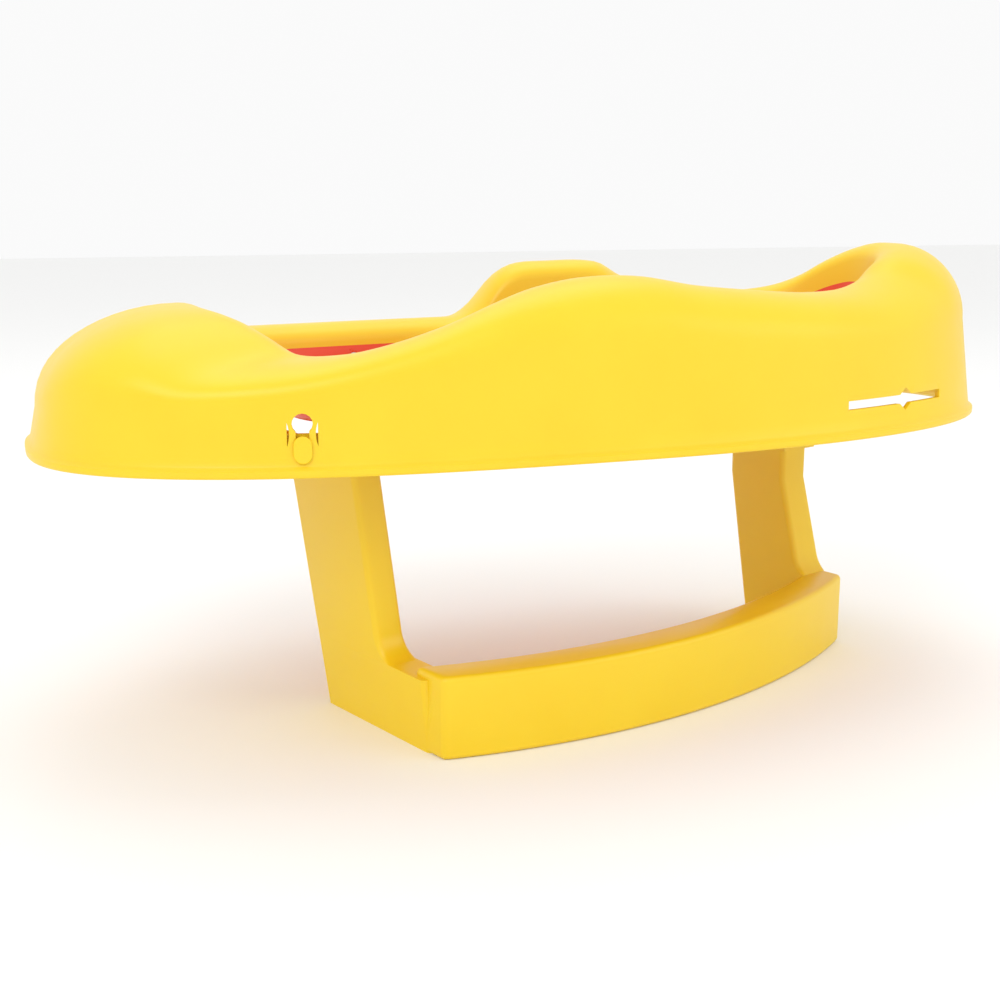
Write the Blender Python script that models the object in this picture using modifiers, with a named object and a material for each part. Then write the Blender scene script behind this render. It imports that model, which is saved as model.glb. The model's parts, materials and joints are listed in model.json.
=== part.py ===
"""Moulded infant seat with a lift-off support frame: shell, bucket, frame, latch and harness.

+X runs from the foot end to the head end, +Z is up, and the origin is on the floor under the
middle of the whole seat. All sizes are in metres.
"""
import math

import bmesh
import bpy
from mathutils import Matrix, Vector

# ---------------------------------------------------------------- driving dimensions
SHELL_LENGTH = 0.648          # lip to lip, foot to head
SHELL_WIDTH = 0.296
FOOT_SQUARENESS = 2.7         # superellipse exponents of the plan outline
HEAD_SQUARENESS = 2.2
LIP_Z = 0.178                 # underside of the skirt above the floor
SHELL_WALL = 0.0034

LIP_PROUD = 0.003             # the bottom bead stands out from the skirt
LIP_HEIGHT = 0.0045
SKIRT_DRAFT = 0.004           # how far the skirt leans in up to the shoulder, at the sides
SKIRT_DRAFT_FOOT = 0.007
SKIRT_DRAFT_HEAD = 0.013
RIDGE_INSET_SIDE = 0.037      # lip to the highest line of the rim
RIDGE_INSET_FOOT = 0.093
RIDGE_INSET_HEAD = 0.060
MOUTH_ROLL = 0.018            # ridge to the mouth of the tub
MOUTH_DROP = 0.012
INNER_WALL_LAP = 0.016        # the shell's inner wall reaches this far below the bucket's top edge
INNER_WALL_DRAFT = 0.003

# rim height above the lip, as (degrees round from the foot end, height)
NEAR_RIM = ((0, 0.085), (20, 0.084), (30, 0.080), (37, 0.072), (44, 0.061), (52, 0.061),
            (59, 0.066), (67, 0.077), (74, 0.090), (79, 0.097), (86, 0.102), (94, 0.102),
            (102, 0.096), (111, 0.092), (121, 0.089), (131, 0.090), (141, 0.097),
            (149, 0.107), (163, 0.114), (180, 0.115))
FAR_RIM = ((0, 0.085), (16, 0.080), (30, 0.067), (45, 0.062), (82, 0.062), (86, 0.064),
           (89, 0.074), (92, 0.091), (95, 0.099), (100, 0.101), (109, 0.100), (113, 0.090),
           (118, 0.081), (132, 0.078), (141, 0.081), (149, 0.089), (158, 0.102),
           (168, 0.111), (180, 0.115))
SHOULDER_SHARE_FOOT = 0.27    # height of the skirt's shoulder as a share of the rim height
SHOULDER_SHARE = 0.69
SHOULDER_SHARE_HEAD = 0.50
SHOULDER_BLEND_DEG = 50

BUCKET_WALL = 0.003
BUCKET_GAP = 0.0008           # shell's inner wall to the bucket
BUCKET_TOP_SHARE = 0.765      # bucket's top edge as a share of the rim height
BUCKET_DRAFT = 0.008          # top edge to the foot of the bucket's wall, at the sides
BUCKET_DRAFT_END = 0.030
SEAT_Z = 0.016                # bucket floor above the lip, at the seat
HEADREST_Z = 0.034            # and at the head end
FLOOR_ROUND = 0.016

FRAME_TURN = math.radians(18.7)     # the frame stands turned under the seat
FRAME_CORNER = (-0.106, -0.121)     # outer foot-side corner of the frame, on the floor
FRAME_SPAN = 0.367                  # outside of leg to outside of leg
BAR_WALL = 0.028                    # thickness of the bar
BAR_HEIGHT = 0.0515
BAR_BOW = 0.038                     # how far the bar bows out of its chord
BAR_EDGE = 0.003
LEG_CLIP = 0.004                    # clipped corners of the legs
FOOT_LEG_WALL = 0.0208
FOOT_LEG_FRONT = (0.056, 0.069)     # behind the frame's corner, at the floor and at the top
FOOT_LEG_BACK = (0.128, 0.145)
FOOT_LEG_LEAN = 0.0155              # outwards, from the floor to the top
HEAD_LEG_WALL = 0.0265
HEAD_LEG_FRONT = (0.004, 0.039)
HEAD_LEG_BACK = (0.068, 0.091)
HEAD_LEG_LEAN = 0.0020
SIDE_RAIL_HEIGHT = 0.0465           # from the leg forward to the bar
LEG_FILLET = 0.016                  # between the side rail and the leg's front
TENON = 0.050                       # straight length at the top of the head leg
LEG_TOP_GAP = 0.0085                # leg top below the lip plane

LATCH_LIFT = 0.014                  # travel of the frame in the keyholes
LATCH_X = -0.1885
LATCH_Z = 0.0150                    # stud above the lip plane
STUD_WIDTH = 0.010
STUD_HEIGHT = 0.015
STUD_HEAD = 0.0016
STUD_NECK = 0.0060
KEY_NECK = 0.0072                   # width of the keyhole's slot
KEY_HOLE = 0.0112                   # the round entry at its top
RELIEF_AT = 0.0083                  # relief slits beside the waist of the keyhole
RELIEF_WIDTH = 0.0012
RELIEF_LENGTH = 0.013
TAB_GAP = 0.0026                    # skirt to the latch tab behind it
LATCH_PLATE = 0.004
LATCH_TAB_WIDTH = 0.020
LATCH_TAB_LOW = 0.0060              # above the lip plane
LATCH_TAB_TOP = 0.0225
LATCH_FLAT_TO = 0.070               # the latch bar is level this far each side of the middle, then rises
LATCH_PLATE_MARGIN = 0.06           # as a share of the leg's top
STUD_PIN = 0.0040

SLOT_X = (0.157, 0.248)             # strap slot in the skirt, foot-side and head-side ends
SLOT_Z = 0.0215
SLOT_HEIGHT = 0.0056
SLOT_NOTCH_AT = 0.57                # place of the notch along the slot
SLOT_NOTCH_HEIGHT = 0.0145
SLOT_NOTCH_LENGTH = 0.012

SOCKET_WALL = 0.003
SOCKET_GAP = 0.0006
SOCKET_LOW = -0.036                 # lower and upper ends, from the lip plane
SOCKET_HIGH = 0.012
PAD_WIDTH = 0.036
PAD_GAP = 0.0014                    # mounting pad to the inside of the skirt
PAD_HEIGHT = 0.009
PAD_ROOT = 0.008                    # the pad runs this far into the sleeve
PAD_Z = 0.0118                      # middle of the pad above the lip plane
PAD_SPACING = 0.024                 # between its two screws
SOCKET_SCREW_LENGTH = 0.011
SCREW_STANDOFF = 0.0009             # heads clear of the curved skirt

RIVET_TURNS = (24, 62, 118, 158, 202, 242, 298, 336)
RIVET_DROP = 0.0085                 # bucket's top edge to the rivet
RIVET_SHANK = 0.0036
RIVET_HEAD = 0.0076
RIVET_HOLE = 0.0044
RIVET_HEAD_DEPTH = 0.0016
RIVET_SLACK = 0.0007                # under each head

SCREW_SHANK = 0.0034
SCREW_HEAD = 0.0070
SCREW_HEAD_HEIGHT = 0.0022
SCREW_LENGTH = 0.010
SCREW_BORE = 0.0042

WEBBING = 0.025
WEBBING_THICK = 0.0018
STRAP_LIFT = 0.0022                 # strap's underside above the bucket floor
STRAP_SLOT = (0.0078, 0.031)
SHOULDER_SLOT = (0.150, 0.036)      # X, and Y of each side's strap slot
CROTCH_SLOT_X = -0.100
BUCKLE_X = -0.040
BUCKLE_SIZE = (0.052, 0.050, 0.018)
BUCKLE_LIFT = 0.0030                # above the bucket floor
BUCKLE_WALL = 0.0025
BUTTON_SIZE = (0.020, 0.030, 0.008)
BUTTON_PROUD = 0.0012
BUTTON_GAP = 0.0004
BUTTON_TRAVEL = 0.0030
TONGUE_WIDTH = 0.015
TONGUE_THICK = 0.002
TONGUE_Y = 0.0115                   # middle of each tongue in the buckle
TONGUE_REACH = 0.058                # loop end ahead of the buckle's middle
TONGUE_Z = 0.0105                   # above the bottom of the buckle
LOOP_EDGE = 0.0075                  # strap to the outer edge of the tongue's loop
LOOP_OFFSET = 0.0065                # middle of the loop outside the middle of the tongue
ANCHOR_SIZE = (0.020, 0.040, 0.003)
ANCHOR_GAP = 0.0028                 # below the bucket floor
GAP = 0.0003                        # between solids that touch

STATIONS = 84


# ---------------------------------------------------------------- scene and helpers
def clear_scene():
    for old in list(bpy.data.objects):
        bpy.data.objects.remove(old, do_unlink=True)
    for old in list(bpy.data.collections):
        bpy.data.collections.remove(old)


clear_scene()
PARTS = bpy.data.collections.new("infant_seat")
CUTTERS = bpy.data.collections.new("cutters")
bpy.context.scene.collection.children.link(PARTS)
bpy.context.scene.collection.children.link(CUTTERS)


def material(name, rgb, roughness, metallic=0.0):
    made = bpy.data.materials.new(name)
    made.use_nodes = True
    shader = made.node_tree.nodes["Principled BSDF"]
    shader.inputs["Base Color"].default_value = (*rgb, 1.0)
    shader.inputs["Roughness"].default_value = roughness
    shader.inputs["Metallic"].default_value = metallic
    return made


YELLOW = material("yellow_plastic", (0.90, 0.66, 0.03), 0.42)
RED = material("red_plastic", (0.62, 0.05, 0.02), 0.45)
STEEL = material("zinc_steel", (0.55, 0.56, 0.58), 0.35, 1.0)
WEB = material("webbing", (0.05, 0.05, 0.06), 0.85)
BLACK = material("black_plastic", (0.02, 0.02, 0.022), 0.5)
BUTTON = material("release_button", (0.55, 0.04, 0.02), 0.45)


def add_object(name, bm, finish, collection=PARTS, turn_out=True):
    bm.normal_update()
    if turn_out:
        bmesh.ops.recalc_face_normals(bm, faces=bm.faces)
    mesh = bpy.data.meshes.new(name)
    bm.to_mesh(mesh)
    bm.free()
    made = bpy.data.objects.new(name, mesh)
    collection.objects.link(made)
    if finish:
        mesh.materials.append(finish)
    if collection is CUTTERS:
        made.hide_render = True
        made.display_type = "WIRE"
    return made


def box(low, high):
    """A box as a bmesh, from its two corners."""
    bm = bmesh.new()
    size = Vector(high) - Vector(low)
    middle = (Vector(high) + Vector(low)) / 2
    bmesh.ops.create_cube(bm, size=1.0, matrix=Matrix.Translation(middle) @ Matrix.Diagonal((*size, 1.0)))
    return bm


def rod(start, end, radius, segments=16, end_radius=None):
    """A cylinder or cone from start to end as a bmesh."""
    start, end = Vector(start), Vector(end)
    axis = end - start
    bm = bmesh.new()
    turn = axis.to_track_quat("Z", "Y").to_matrix().to_4x4()
    bmesh.ops.create_cone(
        bm, cap_ends=True, segments=segments, radius1=radius,
        radius2=radius if end_radius is None else end_radius, depth=axis.length,
        matrix=Matrix.Translation((start + end) / 2) @ turn)
    return bm


def prism(outline, low, high, bevel=0.0):
    """A flat outline in X and Y raised from low to high, as a bmesh."""
    bm = bmesh.new()
    face = bm.faces.new([bm.verts.new((x, y, low)) for x, y in outline])
    raised = bmesh.ops.extrude_face_region(bm, geom=[face])
    moved = [item for item in raised["geom"] if isinstance(item, bmesh.types.BMVert)]
    bmesh.ops.translate(bm, verts=moved, vec=(0, 0, high - low))
    bmesh.ops.recalc_face_normals(bm, faces=bm.faces)
    if bevel:
        bmesh.ops.bevel(bm, geom=list(bm.edges), offset=bevel, segments=1, affect="EDGES", profile=0.5)
    return bm


def boolean(target, cutter, operation):
    step = target.modifiers.new(operation.lower() + "_" + cutter.name, "BOOLEAN")
    step.operation = operation
    step.object = cutter


def apply_modifiers(target):
    """Bakes the modifiers into the mesh, so that later cuts meet a plain closed body."""
    graph = bpy.context.evaluated_depsgraph_get()
    baked = bpy.data.meshes.new_from_object(target.evaluated_get(graph))
    target.modifiers.clear()
    target.data = baked


def smooth(target, degrees=35):
    target.data.shade_smooth()
    target.data.set_sharp_from_angle(angle=math.radians(degrees))


# ---------------------------------------------------------------- plan outline and rim
def catmull(keys, at):
    """A smooth value through the keys, even where they are unevenly spaced."""
    at = min(max(at, keys[0][0]), keys[-1][0])
    index = max(i for i in range(len(keys) - 1) if keys[i][0] <= at)

    def slope(i):
        low, high = max(i - 1, 0), min(i + 1, len(keys) - 1)
        if i in (0, len(keys) - 1):
            return 0.0
        return (keys[high][1] - keys[low][1]) / (keys[high][0] - keys[low][0])

    (x0, y0), (x1, y1) = keys[index], keys[index + 1]
    span = x1 - x0
    t = (at - x0) / span
    h00 = (1 + 2 * t) * (1 - t) ** 2
    h10 = t * (1 - t) ** 2
    h01 = t * t * (3 - 2 * t)
    h11 = t * t * (t - 1)
    return h00 * y0 + h10 * span * slope(index) + h01 * y1 + h11 * span * slope(index + 1)


def unit_outline(turn):
    """The plan outline for half-lengths of one. Turn 0 is the foot end, 180 the head end, near side first."""
    angle = math.radians(turn)
    power = FOOT_SQUARENESS if math.cos(angle) > 0 else HEAD_SQUARENESS
    reach = (abs(math.cos(angle)) ** power + abs(math.sin(angle)) ** power) ** (-1 / power)
    return -math.cos(angle) * reach, -math.sin(angle) * reach


def rim_height(turn):
    turn = turn % 360
    return catmull(NEAR_RIM, turn) if turn <= 180 else catmull(FAR_RIM, 360 - turn)


def shoulder_share(turn):
    from_foot = min(turn % 360, 360 - turn % 360)
    end_share = SHOULDER_SHARE_FOOT if from_foot < 90 else SHOULDER_SHARE_HEAD
    blend = min(min(from_foot, 180 - from_foot) / SHOULDER_BLEND_DEG, 1.0)
    blend = blend * blend * (3 - 2 * blend)
    return end_share + (SHOULDER_SHARE - end_share) * blend


def plan_point(turn, side_inset, foot_inset, head_inset, z):
    x, y = unit_outline(turn)
    half = SHELL_LENGTH / 2 - (foot_inset if x < 0 else head_inset)
    return Vector((x * half, y * (SHELL_WIDTH / 2 - side_inset), LIP_Z + z))


def even_turns(count):
    """Turns spaced evenly along the lip, not evenly in angle."""
    fine = [360 * i / 2000 for i in range(2001)]
    points = [plan_point(turn, 0, 0, 0, 0) for turn in fine]
    walked = [0.0]
    for a, b in zip(points, points[1:]):
        walked.append(walked[-1] + (b - a).length)
    turns = []
    index = 0
    for i in range(count):
        goal = walked[-1] * i / count
        while walked[index + 1] < goal:
            index += 1
        share = (goal - walked[index]) / (walked[index + 1] - walked[index])
        turns.append(fine[index] + share * (fine[index + 1] - fine[index]))
    return turns


def inset_point(turn, share, extra, z):
    """A point in from the lip, plus an extra in metres.

    Share -1 is the foot of the skirt, 0 its shoulder and 1 the ridge.
    """
    def inset(ridge, draft):
        if share < 0:
            return draft * (1 + share) + extra
        return draft + (ridge - draft) * share + extra
    return plan_point(turn, inset(RIDGE_INSET_SIDE, SKIRT_DRAFT), inset(RIDGE_INSET_FOOT, SKIRT_DRAFT_FOOT),
                      inset(RIDGE_INSET_HEAD, SKIRT_DRAFT_HEAD), z)


def shell_section(turn):
    """The shell's outer surface from the lip, over the rim, to the lower edge of the inner wall."""
    height = rim_height(turn)
    shoulder = height * shoulder_share(turn)
    points = [inset_point(turn, -1, 0, 0),
              inset_point(turn, -1, 0, LIP_HEIGHT),
              inset_point(turn, -1, LIP_PROUD, LIP_HEIGHT + LIP_PROUD / 2),
              inset_point(turn, -0.5, LIP_PROUD / 2, (LIP_HEIGHT + shoulder) / 2)]
    steps = 6
    for i in range(steps + 1):
        angle = math.pi / 2 * i / steps
        points.append(inset_point(turn, 1 - math.cos(angle), 0,
                                  shoulder + (height - shoulder) * math.sin(angle)))
    steps = 3
    for i in range(1, steps + 1):
        angle = math.pi / 2 * i / steps
        points.append(inset_point(turn, 1, MOUTH_ROLL * math.sin(angle),
                                  height - MOUTH_DROP * (1 - math.cos(angle))))
    low = inner_wall_foot(turn)
    points.append(inset_point(turn, 1, inner_wall_inset(turn, low), low))
    return points


def inner_wall_foot(turn):
    """Height of the lower edge of the shell's inner wall."""
    return rim_height(turn) * BUCKET_TOP_SHARE - INNER_WALL_LAP


def inner_wall_inset(turn, z):
    """How far inside the ridge the shell's inner wall stands at a height."""
    mouth = rim_height(turn) - MOUTH_DROP
    return MOUTH_ROLL + INNER_WALL_DRAFT * (mouth - z) / (mouth - inner_wall_foot(turn))


def loft(rings, closed_end=False):
    """Quads between rings of points that go round, with a flat cap on the last ring if asked."""
    bm = bmesh.new()
    rows = [[bm.verts.new(point) for point in ring] for ring in rings]
    count = len(rows[0])
    for low, high in zip(rows, rows[1:]):
        for i in range(count):
            j = (i + 1) % count
            bm.faces.new((low[i], low[j], high[j], high[i]))
    if closed_end:
        bm.faces.new(rows[-1])
    return bm


def face_towards(bm, face, direction):
    """Turns an open surface so that one face, and all its neighbours with it, face a direction."""
    bmesh.ops.recalc_face_normals(bm, faces=bm.faces)
    bm.faces.ensure_lookup_table()
    bm.faces[face].normal_update()
    if bm.faces[face].normal.dot(Vector(direction)) < 0:
        bmesh.ops.reverse_faces(bm, faces=bm.faces)


def make_shell():
    turns = even_turns(STATIONS)
    sections = [shell_section(turn) for turn in turns]
    rings = [[section[k] for section in sections] for k in range(len(sections[0]))]
    skin = loft(rings)
    face_towards(skin, 0, (-1, 0, 0))
    shell = add_object("seat_shell", skin, YELLOW, turn_out=False)
    wall = shell.modifiers.new("wall", "SOLIDIFY")
    wall.thickness = SHELL_WALL
    wall.offset = -1
    apply_modifiers(shell)
    return shell


# ---------------------------------------------------------------- bucket
def bucket_floor_z(x):
    """Height of the bucket's floor above the lip, rising to the headrest."""
    blend = min(max((x - 0.03) / 0.17, 0.0), 1.0)
    return SEAT_Z + (HEADREST_Z - SEAT_Z) * blend * blend * (3 - 2 * blend)


def bucket_wall_point(turn, z):
    """A point of the bucket's inner face where it follows the shell's inner wall."""
    return inset_point(turn, 1, inner_wall_inset(turn, z) + BUCKET_GAP + BUCKET_WALL, z)


def bucket_foot_point(turn, extra):
    """A point where the bucket's wall has come down to its floor."""
    base = inner_wall_inset(turn, inner_wall_foot(turn)) + BUCKET_GAP + BUCKET_WALL + extra
    point = plan_point(turn, RIDGE_INSET_SIDE + base + BUCKET_DRAFT, RIDGE_INSET_FOOT + base + BUCKET_DRAFT_END,
                       RIDGE_INSET_HEAD + base + BUCKET_DRAFT_END, 0)
    point.z = LIP_Z + bucket_floor_z(point.x)
    return point


def make_bucket():
    turns = even_turns(STATIONS)
    rings = [[bucket_wall_point(turn, rim_height(turn) * BUCKET_TOP_SHARE) for turn in turns],
             [bucket_wall_point(turn, inner_wall_foot(turn)) for turn in turns]]
    for angle in (0, 30, 60, 90):
        swing = math.radians(angle)
        inset = FLOOR_ROUND * (1 - math.cos(swing))
        ring = []
        for turn in turns:
            point = bucket_foot_point(turn, inset)
            point.z += FLOOR_ROUND * (1 - math.sin(swing))
            ring.append(point)
        rings.append(ring)
    for share in (0.66, 0.33):
        ring = []
        for point in rings[5]:
            inner = Vector((point.x * share, point.y * share, 0))
            inner.z = LIP_Z + bucket_floor_z(inner.x)
            ring.append(inner)
        rings.append(ring)
    bm = loft(rings)
    middle = bm.verts.new((0, 0, LIP_Z + bucket_floor_z(0)))
    bm.verts.ensure_lookup_table()
    last = list(bm.verts)[-1 - STATIONS:-1]
    for i in range(STATIONS):
        bm.faces.new((last[i], last[(i + 1) % STATIONS], middle))
    face_towards(bm, 0, (-1, 0, 0))
    bucket = add_object("seat_bucket", bm, RED, turn_out=False)
    wall = bucket.modifiers.new("wall", "SOLIDIFY")
    wall.thickness = BUCKET_WALL
    wall.offset = 1
    apply_modifiers(bucket)
    return bucket


# ---------------------------------------------------------------- support frame
def frame_matrix():
    return Matrix.Translation((*FRAME_CORNER, 0)) @ Matrix.Rotation(FRAME_TURN, 4, "Z")


def leg_edge(line, z, straight):
    """How far back an edge of a leg stands at a height; the straight top stretch is upright."""
    return line[0] + (line[1] - line[0]) * min(z / (LIP_Z - LEG_TOP_GAP - straight), 1.0)


def leg_front(line, z, straight):
    """The leg's front edge, with the fillet that runs out into the side rail."""
    if z <= SIDE_RAIL_HEIGHT:
        return BAR_WALL / 2
    share = min((z - SIDE_RAIL_HEIGHT) / LEG_FILLET, 1.0)
    fillet = LEG_FILLET * (1 - math.sqrt(1 - (1 - share) ** 2))
    return max(leg_edge(line, z, straight) - fillet, BAR_WALL / 2)


def bow(x):
    """How far in front of its chord the bar's outer face is."""
    radius = (FRAME_SPAN ** 2 / 4 + BAR_BOW ** 2) / (2 * BAR_BOW)
    return math.sqrt(radius ** 2 - (x - FRAME_SPAN / 2) ** 2) - (radius - BAR_BOW)


def make_leg(name, outer_x, inward, wall, lean, front, back, straight):
    """An upright plate leg: a loft of level rectangles with clipped corners."""
    top = LIP_Z - LEG_TOP_GAP
    bend = top - straight
    fillet_foot = SIDE_RAIL_HEIGHT + 0.0005
    levels = [0.0, SIDE_RAIL_HEIGHT]
    levels += [fillet_foot + LEG_FILLET * share for share in (0.0, 0.08, 0.2, 0.4, 0.65, 1.0)]
    levels.append(bend)
    if straight > 0:
        levels.append(top)
    clip = LEG_CLIP
    rings = []
    for z in levels:
        outside = outer_x - inward * lean * min(z / bend, 1.0)
        low_x, high_x = sorted((outside, outside + inward * wall))
        low_y = leg_front(front, z, straight)
        high_y = leg_edge(back, z, straight)
        rings.append([Vector(p) for p in (
            (low_x + clip, low_y, z), (high_x - clip, low_y, z), (high_x, low_y + clip, z),
            (high_x, high_y - clip, z), (high_x - clip, high_y, z), (low_x + clip, high_y, z),
            (low_x, high_y - clip, z), (low_x, low_y + clip, z))])
    bm = loft(rings, closed_end=True)
    bm.verts.ensure_lookup_table()
    bm.faces.new(list(bm.verts)[:8])
    bm.transform(frame_matrix())
    return add_object(name, bm, None, CUTTERS)


def make_frame():
    """The two legs and the bowed bar, moulded as one piece."""
    steps = 24
    outer = [(FRAME_SPAN * i / steps, -bow(FRAME_SPAN * i / steps)) for i in range(steps + 1)]
    inner = [(x, y + BAR_WALL) for x, y in reversed(outer)]
    bar = prism(outer + inner, 0, BAR_HEIGHT, bevel=BAR_EDGE)
    bar.transform(frame_matrix())
    frame = add_object("support_frame", bar, YELLOW)
    foot_leg = make_leg("foot_leg_body", GAP, 1, FOOT_LEG_WALL, FOOT_LEG_LEAN,
                         FOOT_LEG_FRONT, FOOT_LEG_BACK, 0)
    head_leg = make_leg("head_leg_body", FRAME_SPAN - GAP, -1, HEAD_LEG_WALL, HEAD_LEG_LEAN,
                         HEAD_LEG_FRONT, HEAD_LEG_BACK, TENON)
    boolean(frame, foot_leg, "UNION")
    boolean(frame, head_leg, "UNION")
    apply_modifiers(frame)
    return frame


# ---------------------------------------------------------------- places on the skirt and walls
def turn_at(x, side):
    """The turn at which the skirt stands at x; side is -1 for the near side and 1 for the far side."""
    low, high = (0.0, 180.0)
    for _ in range(50):
        middle = (low + high) / 2
        if plan_point(middle, 0, 0, 0, 0).x < x:
            low = middle
        else:
            high = middle
    return low if side < 0 else 360 - low


def skirt_point(turn, z):
    """A point of the skirt's outer face at a height above the lip."""
    shoulder = rim_height(turn) * shoulder_share(turn)
    share = (z - LIP_HEIGHT) / (shoulder - LIP_HEIGHT)
    return inset_point(turn, share - 1, LIP_PROUD * (1 - share), z)


def surface_frame(surface, turn, z, step=0.5, rise=0.002):
    """A matrix at a point of a wall: X along it, Y out of it, Z up it."""
    point = surface(turn, z)
    along = (surface(turn + step, z) - surface(turn - step, z)).normalized()
    up = (surface(turn, z + rise) - surface(turn, z - rise)).normalized()
    out = up.cross(along).normalized()
    if out.x * point.x / SHELL_LENGTH ** 2 + out.y * point.y / SHELL_WIDTH ** 2 < 0:
        along = -along
        out = -out
    up = along.cross(out)
    matrix = Matrix((along, out, up)).transposed().to_4x4()
    matrix.translation = point
    return matrix


def latch_frame(side):
    return surface_frame(skirt_point, turn_at(LATCH_X, side), LATCH_Z)


def standing(bm, depth_axis_matrix):
    """Turns a flat outline raised along Z so that it is raised along the frame's Y instead."""
    bm.transform(depth_axis_matrix @ Matrix.Rotation(math.radians(90), 4, "X"))
    return bm


def capsule(width, height, middle=0.0, steps=8):
    """A round-ended outline, width across and height along, centred at middle on its height."""
    radius = width / 2
    straight = max(height / 2 - radius, 0.0)
    points = []
    for i in range(steps + 1):
        angle = math.pi * i / steps
        points.append((radius * math.cos(angle), middle + straight + radius * math.sin(angle)))
    for i in range(steps + 1):
        angle = math.pi + math.pi * i / steps
        points.append((radius * math.cos(angle), middle - straight + radius * math.sin(angle)))
    return [p for i, p in enumerate(points) if (Vector(p) - Vector(points[i - 1])).length > 1e-6]


def cut_with(target, name, bm):
    boolean(target, add_object(name, bm, None, CUTTERS), "DIFFERENCE")


def keyhole_outline():
    """A slot rising from the stud at rest into a wider round entry."""
    narrow, wide = KEY_NECK / 2, KEY_HOLE / 2
    steps = 12
    points = []
    for i in range(steps + 1):
        angle = math.pi + math.pi * i / steps
        points.append((narrow * math.cos(angle), narrow * math.sin(angle)))
    start = -math.acos(narrow / wide)
    for i in range(steps + 1):
        angle = start + (math.pi - 2 * start) * i / steps
        points.append((wide * math.cos(angle), LATCH_LIFT + wide * math.sin(angle)))
    return points


def cut_keyholes(shell):
    """A slot with a round entry at its top, and two relief slits that let its waist give."""
    half_depth = 0.012
    for side, label in ((-1, "near"), (1, "far")):
        place = latch_frame(side)
        keyhole = prism(keyhole_outline(), -half_depth, half_depth)
        cut_with(shell, "keyhole_" + label, standing(keyhole, place))
        for hand in (-1, 1):
            outline = []
            steps = 6
            for i in range(steps + 1):
                share = 2 * i / steps - 1
                outline.append((hand * RELIEF_AT, LATCH_LIFT * 0.6 + share * RELIEF_LENGTH / 2))
            for i in range(1, steps):
                share = 1 - 2 * i / steps
                bulge = RELIEF_WIDTH * (1 - share * share)
                outline.append((hand * (RELIEF_AT - bulge), LATCH_LIFT * 0.6 + share * RELIEF_LENGTH / 2))
            slit = standing(prism(outline, -half_depth, half_depth), place)
            cut_with(shell, "relief_%s_%d" % (label, hand), slit)


def cut_strap_slots(shell):
    """The long strap slot in each side of the skirt, with a pointed notch above and below."""
    for side, label in ((-1, "near"), (1, "far")):
        turn_low, turn_high = (turn_at(x, side) for x in SLOT_X)
        place = surface_frame(skirt_point, turn_at(sum(SLOT_X) / 2, side), SLOT_Z)
        inward = place.inverted()
        ends = sorted((inward @ skirt_point(turn, SLOT_Z)).x for turn in (turn_low, turn_high))
        foot_side, head_side = ends if place.col[0].x > 0 else ends[::-1]
        notch = foot_side + (head_side - foot_side) * SLOT_NOTCH_AT
        half, tall, wide = SLOT_HEIGHT / 2, SLOT_NOTCH_HEIGHT / 2, SLOT_NOTCH_LENGTH / 2
        outline = [(ends[0], -half), (notch - wide, -half), (notch, -tall), (notch + wide, -half),
                   (ends[1], -half), (ends[1], half), (notch + wide, half), (notch, tall),
                   (notch - wide, half), (ends[0], half)]
        cut_with(shell, "strap_slot_" + label, standing(prism(outline, -0.02, 0.02), place))


# ---------------------------------------------------------------- latch
def frame_point(x, y, z):
    return frame_matrix() @ Vector((x, y, z))


def foot_leg_top(x_share, y_share):
    """A point of the foot leg's top face, from its outer front corner to its inner back corner."""
    x = GAP - FOOT_LEG_LEAN + FOOT_LEG_WALL * x_share
    y = FOOT_LEG_FRONT[1] + (FOOT_LEG_BACK[1] - FOOT_LEG_FRONT[1]) * y_share
    return frame_point(x, y, LIP_Z - LEG_TOP_GAP)


def latch_screw_points():
    return [foot_leg_top(0.5, share) for share in (0.25, 0.75)]


def latch_tab_frame(side):
    """An upright frame behind the skirt: X along it, Y towards it, Z straight up."""
    place = latch_frame(side)
    out = Vector((place.col[1].x, place.col[1].y, 0)).normalized()
    along = out.cross(Vector((0, 0, 1)))
    matrix = Matrix((along, out, (0, 0, 1))).transposed().to_4x4()
    matrix.translation = place @ Vector((0, -(SHELL_WALL + TAB_GAP), 0))
    matrix.translation.z = 0
    return matrix


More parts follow.
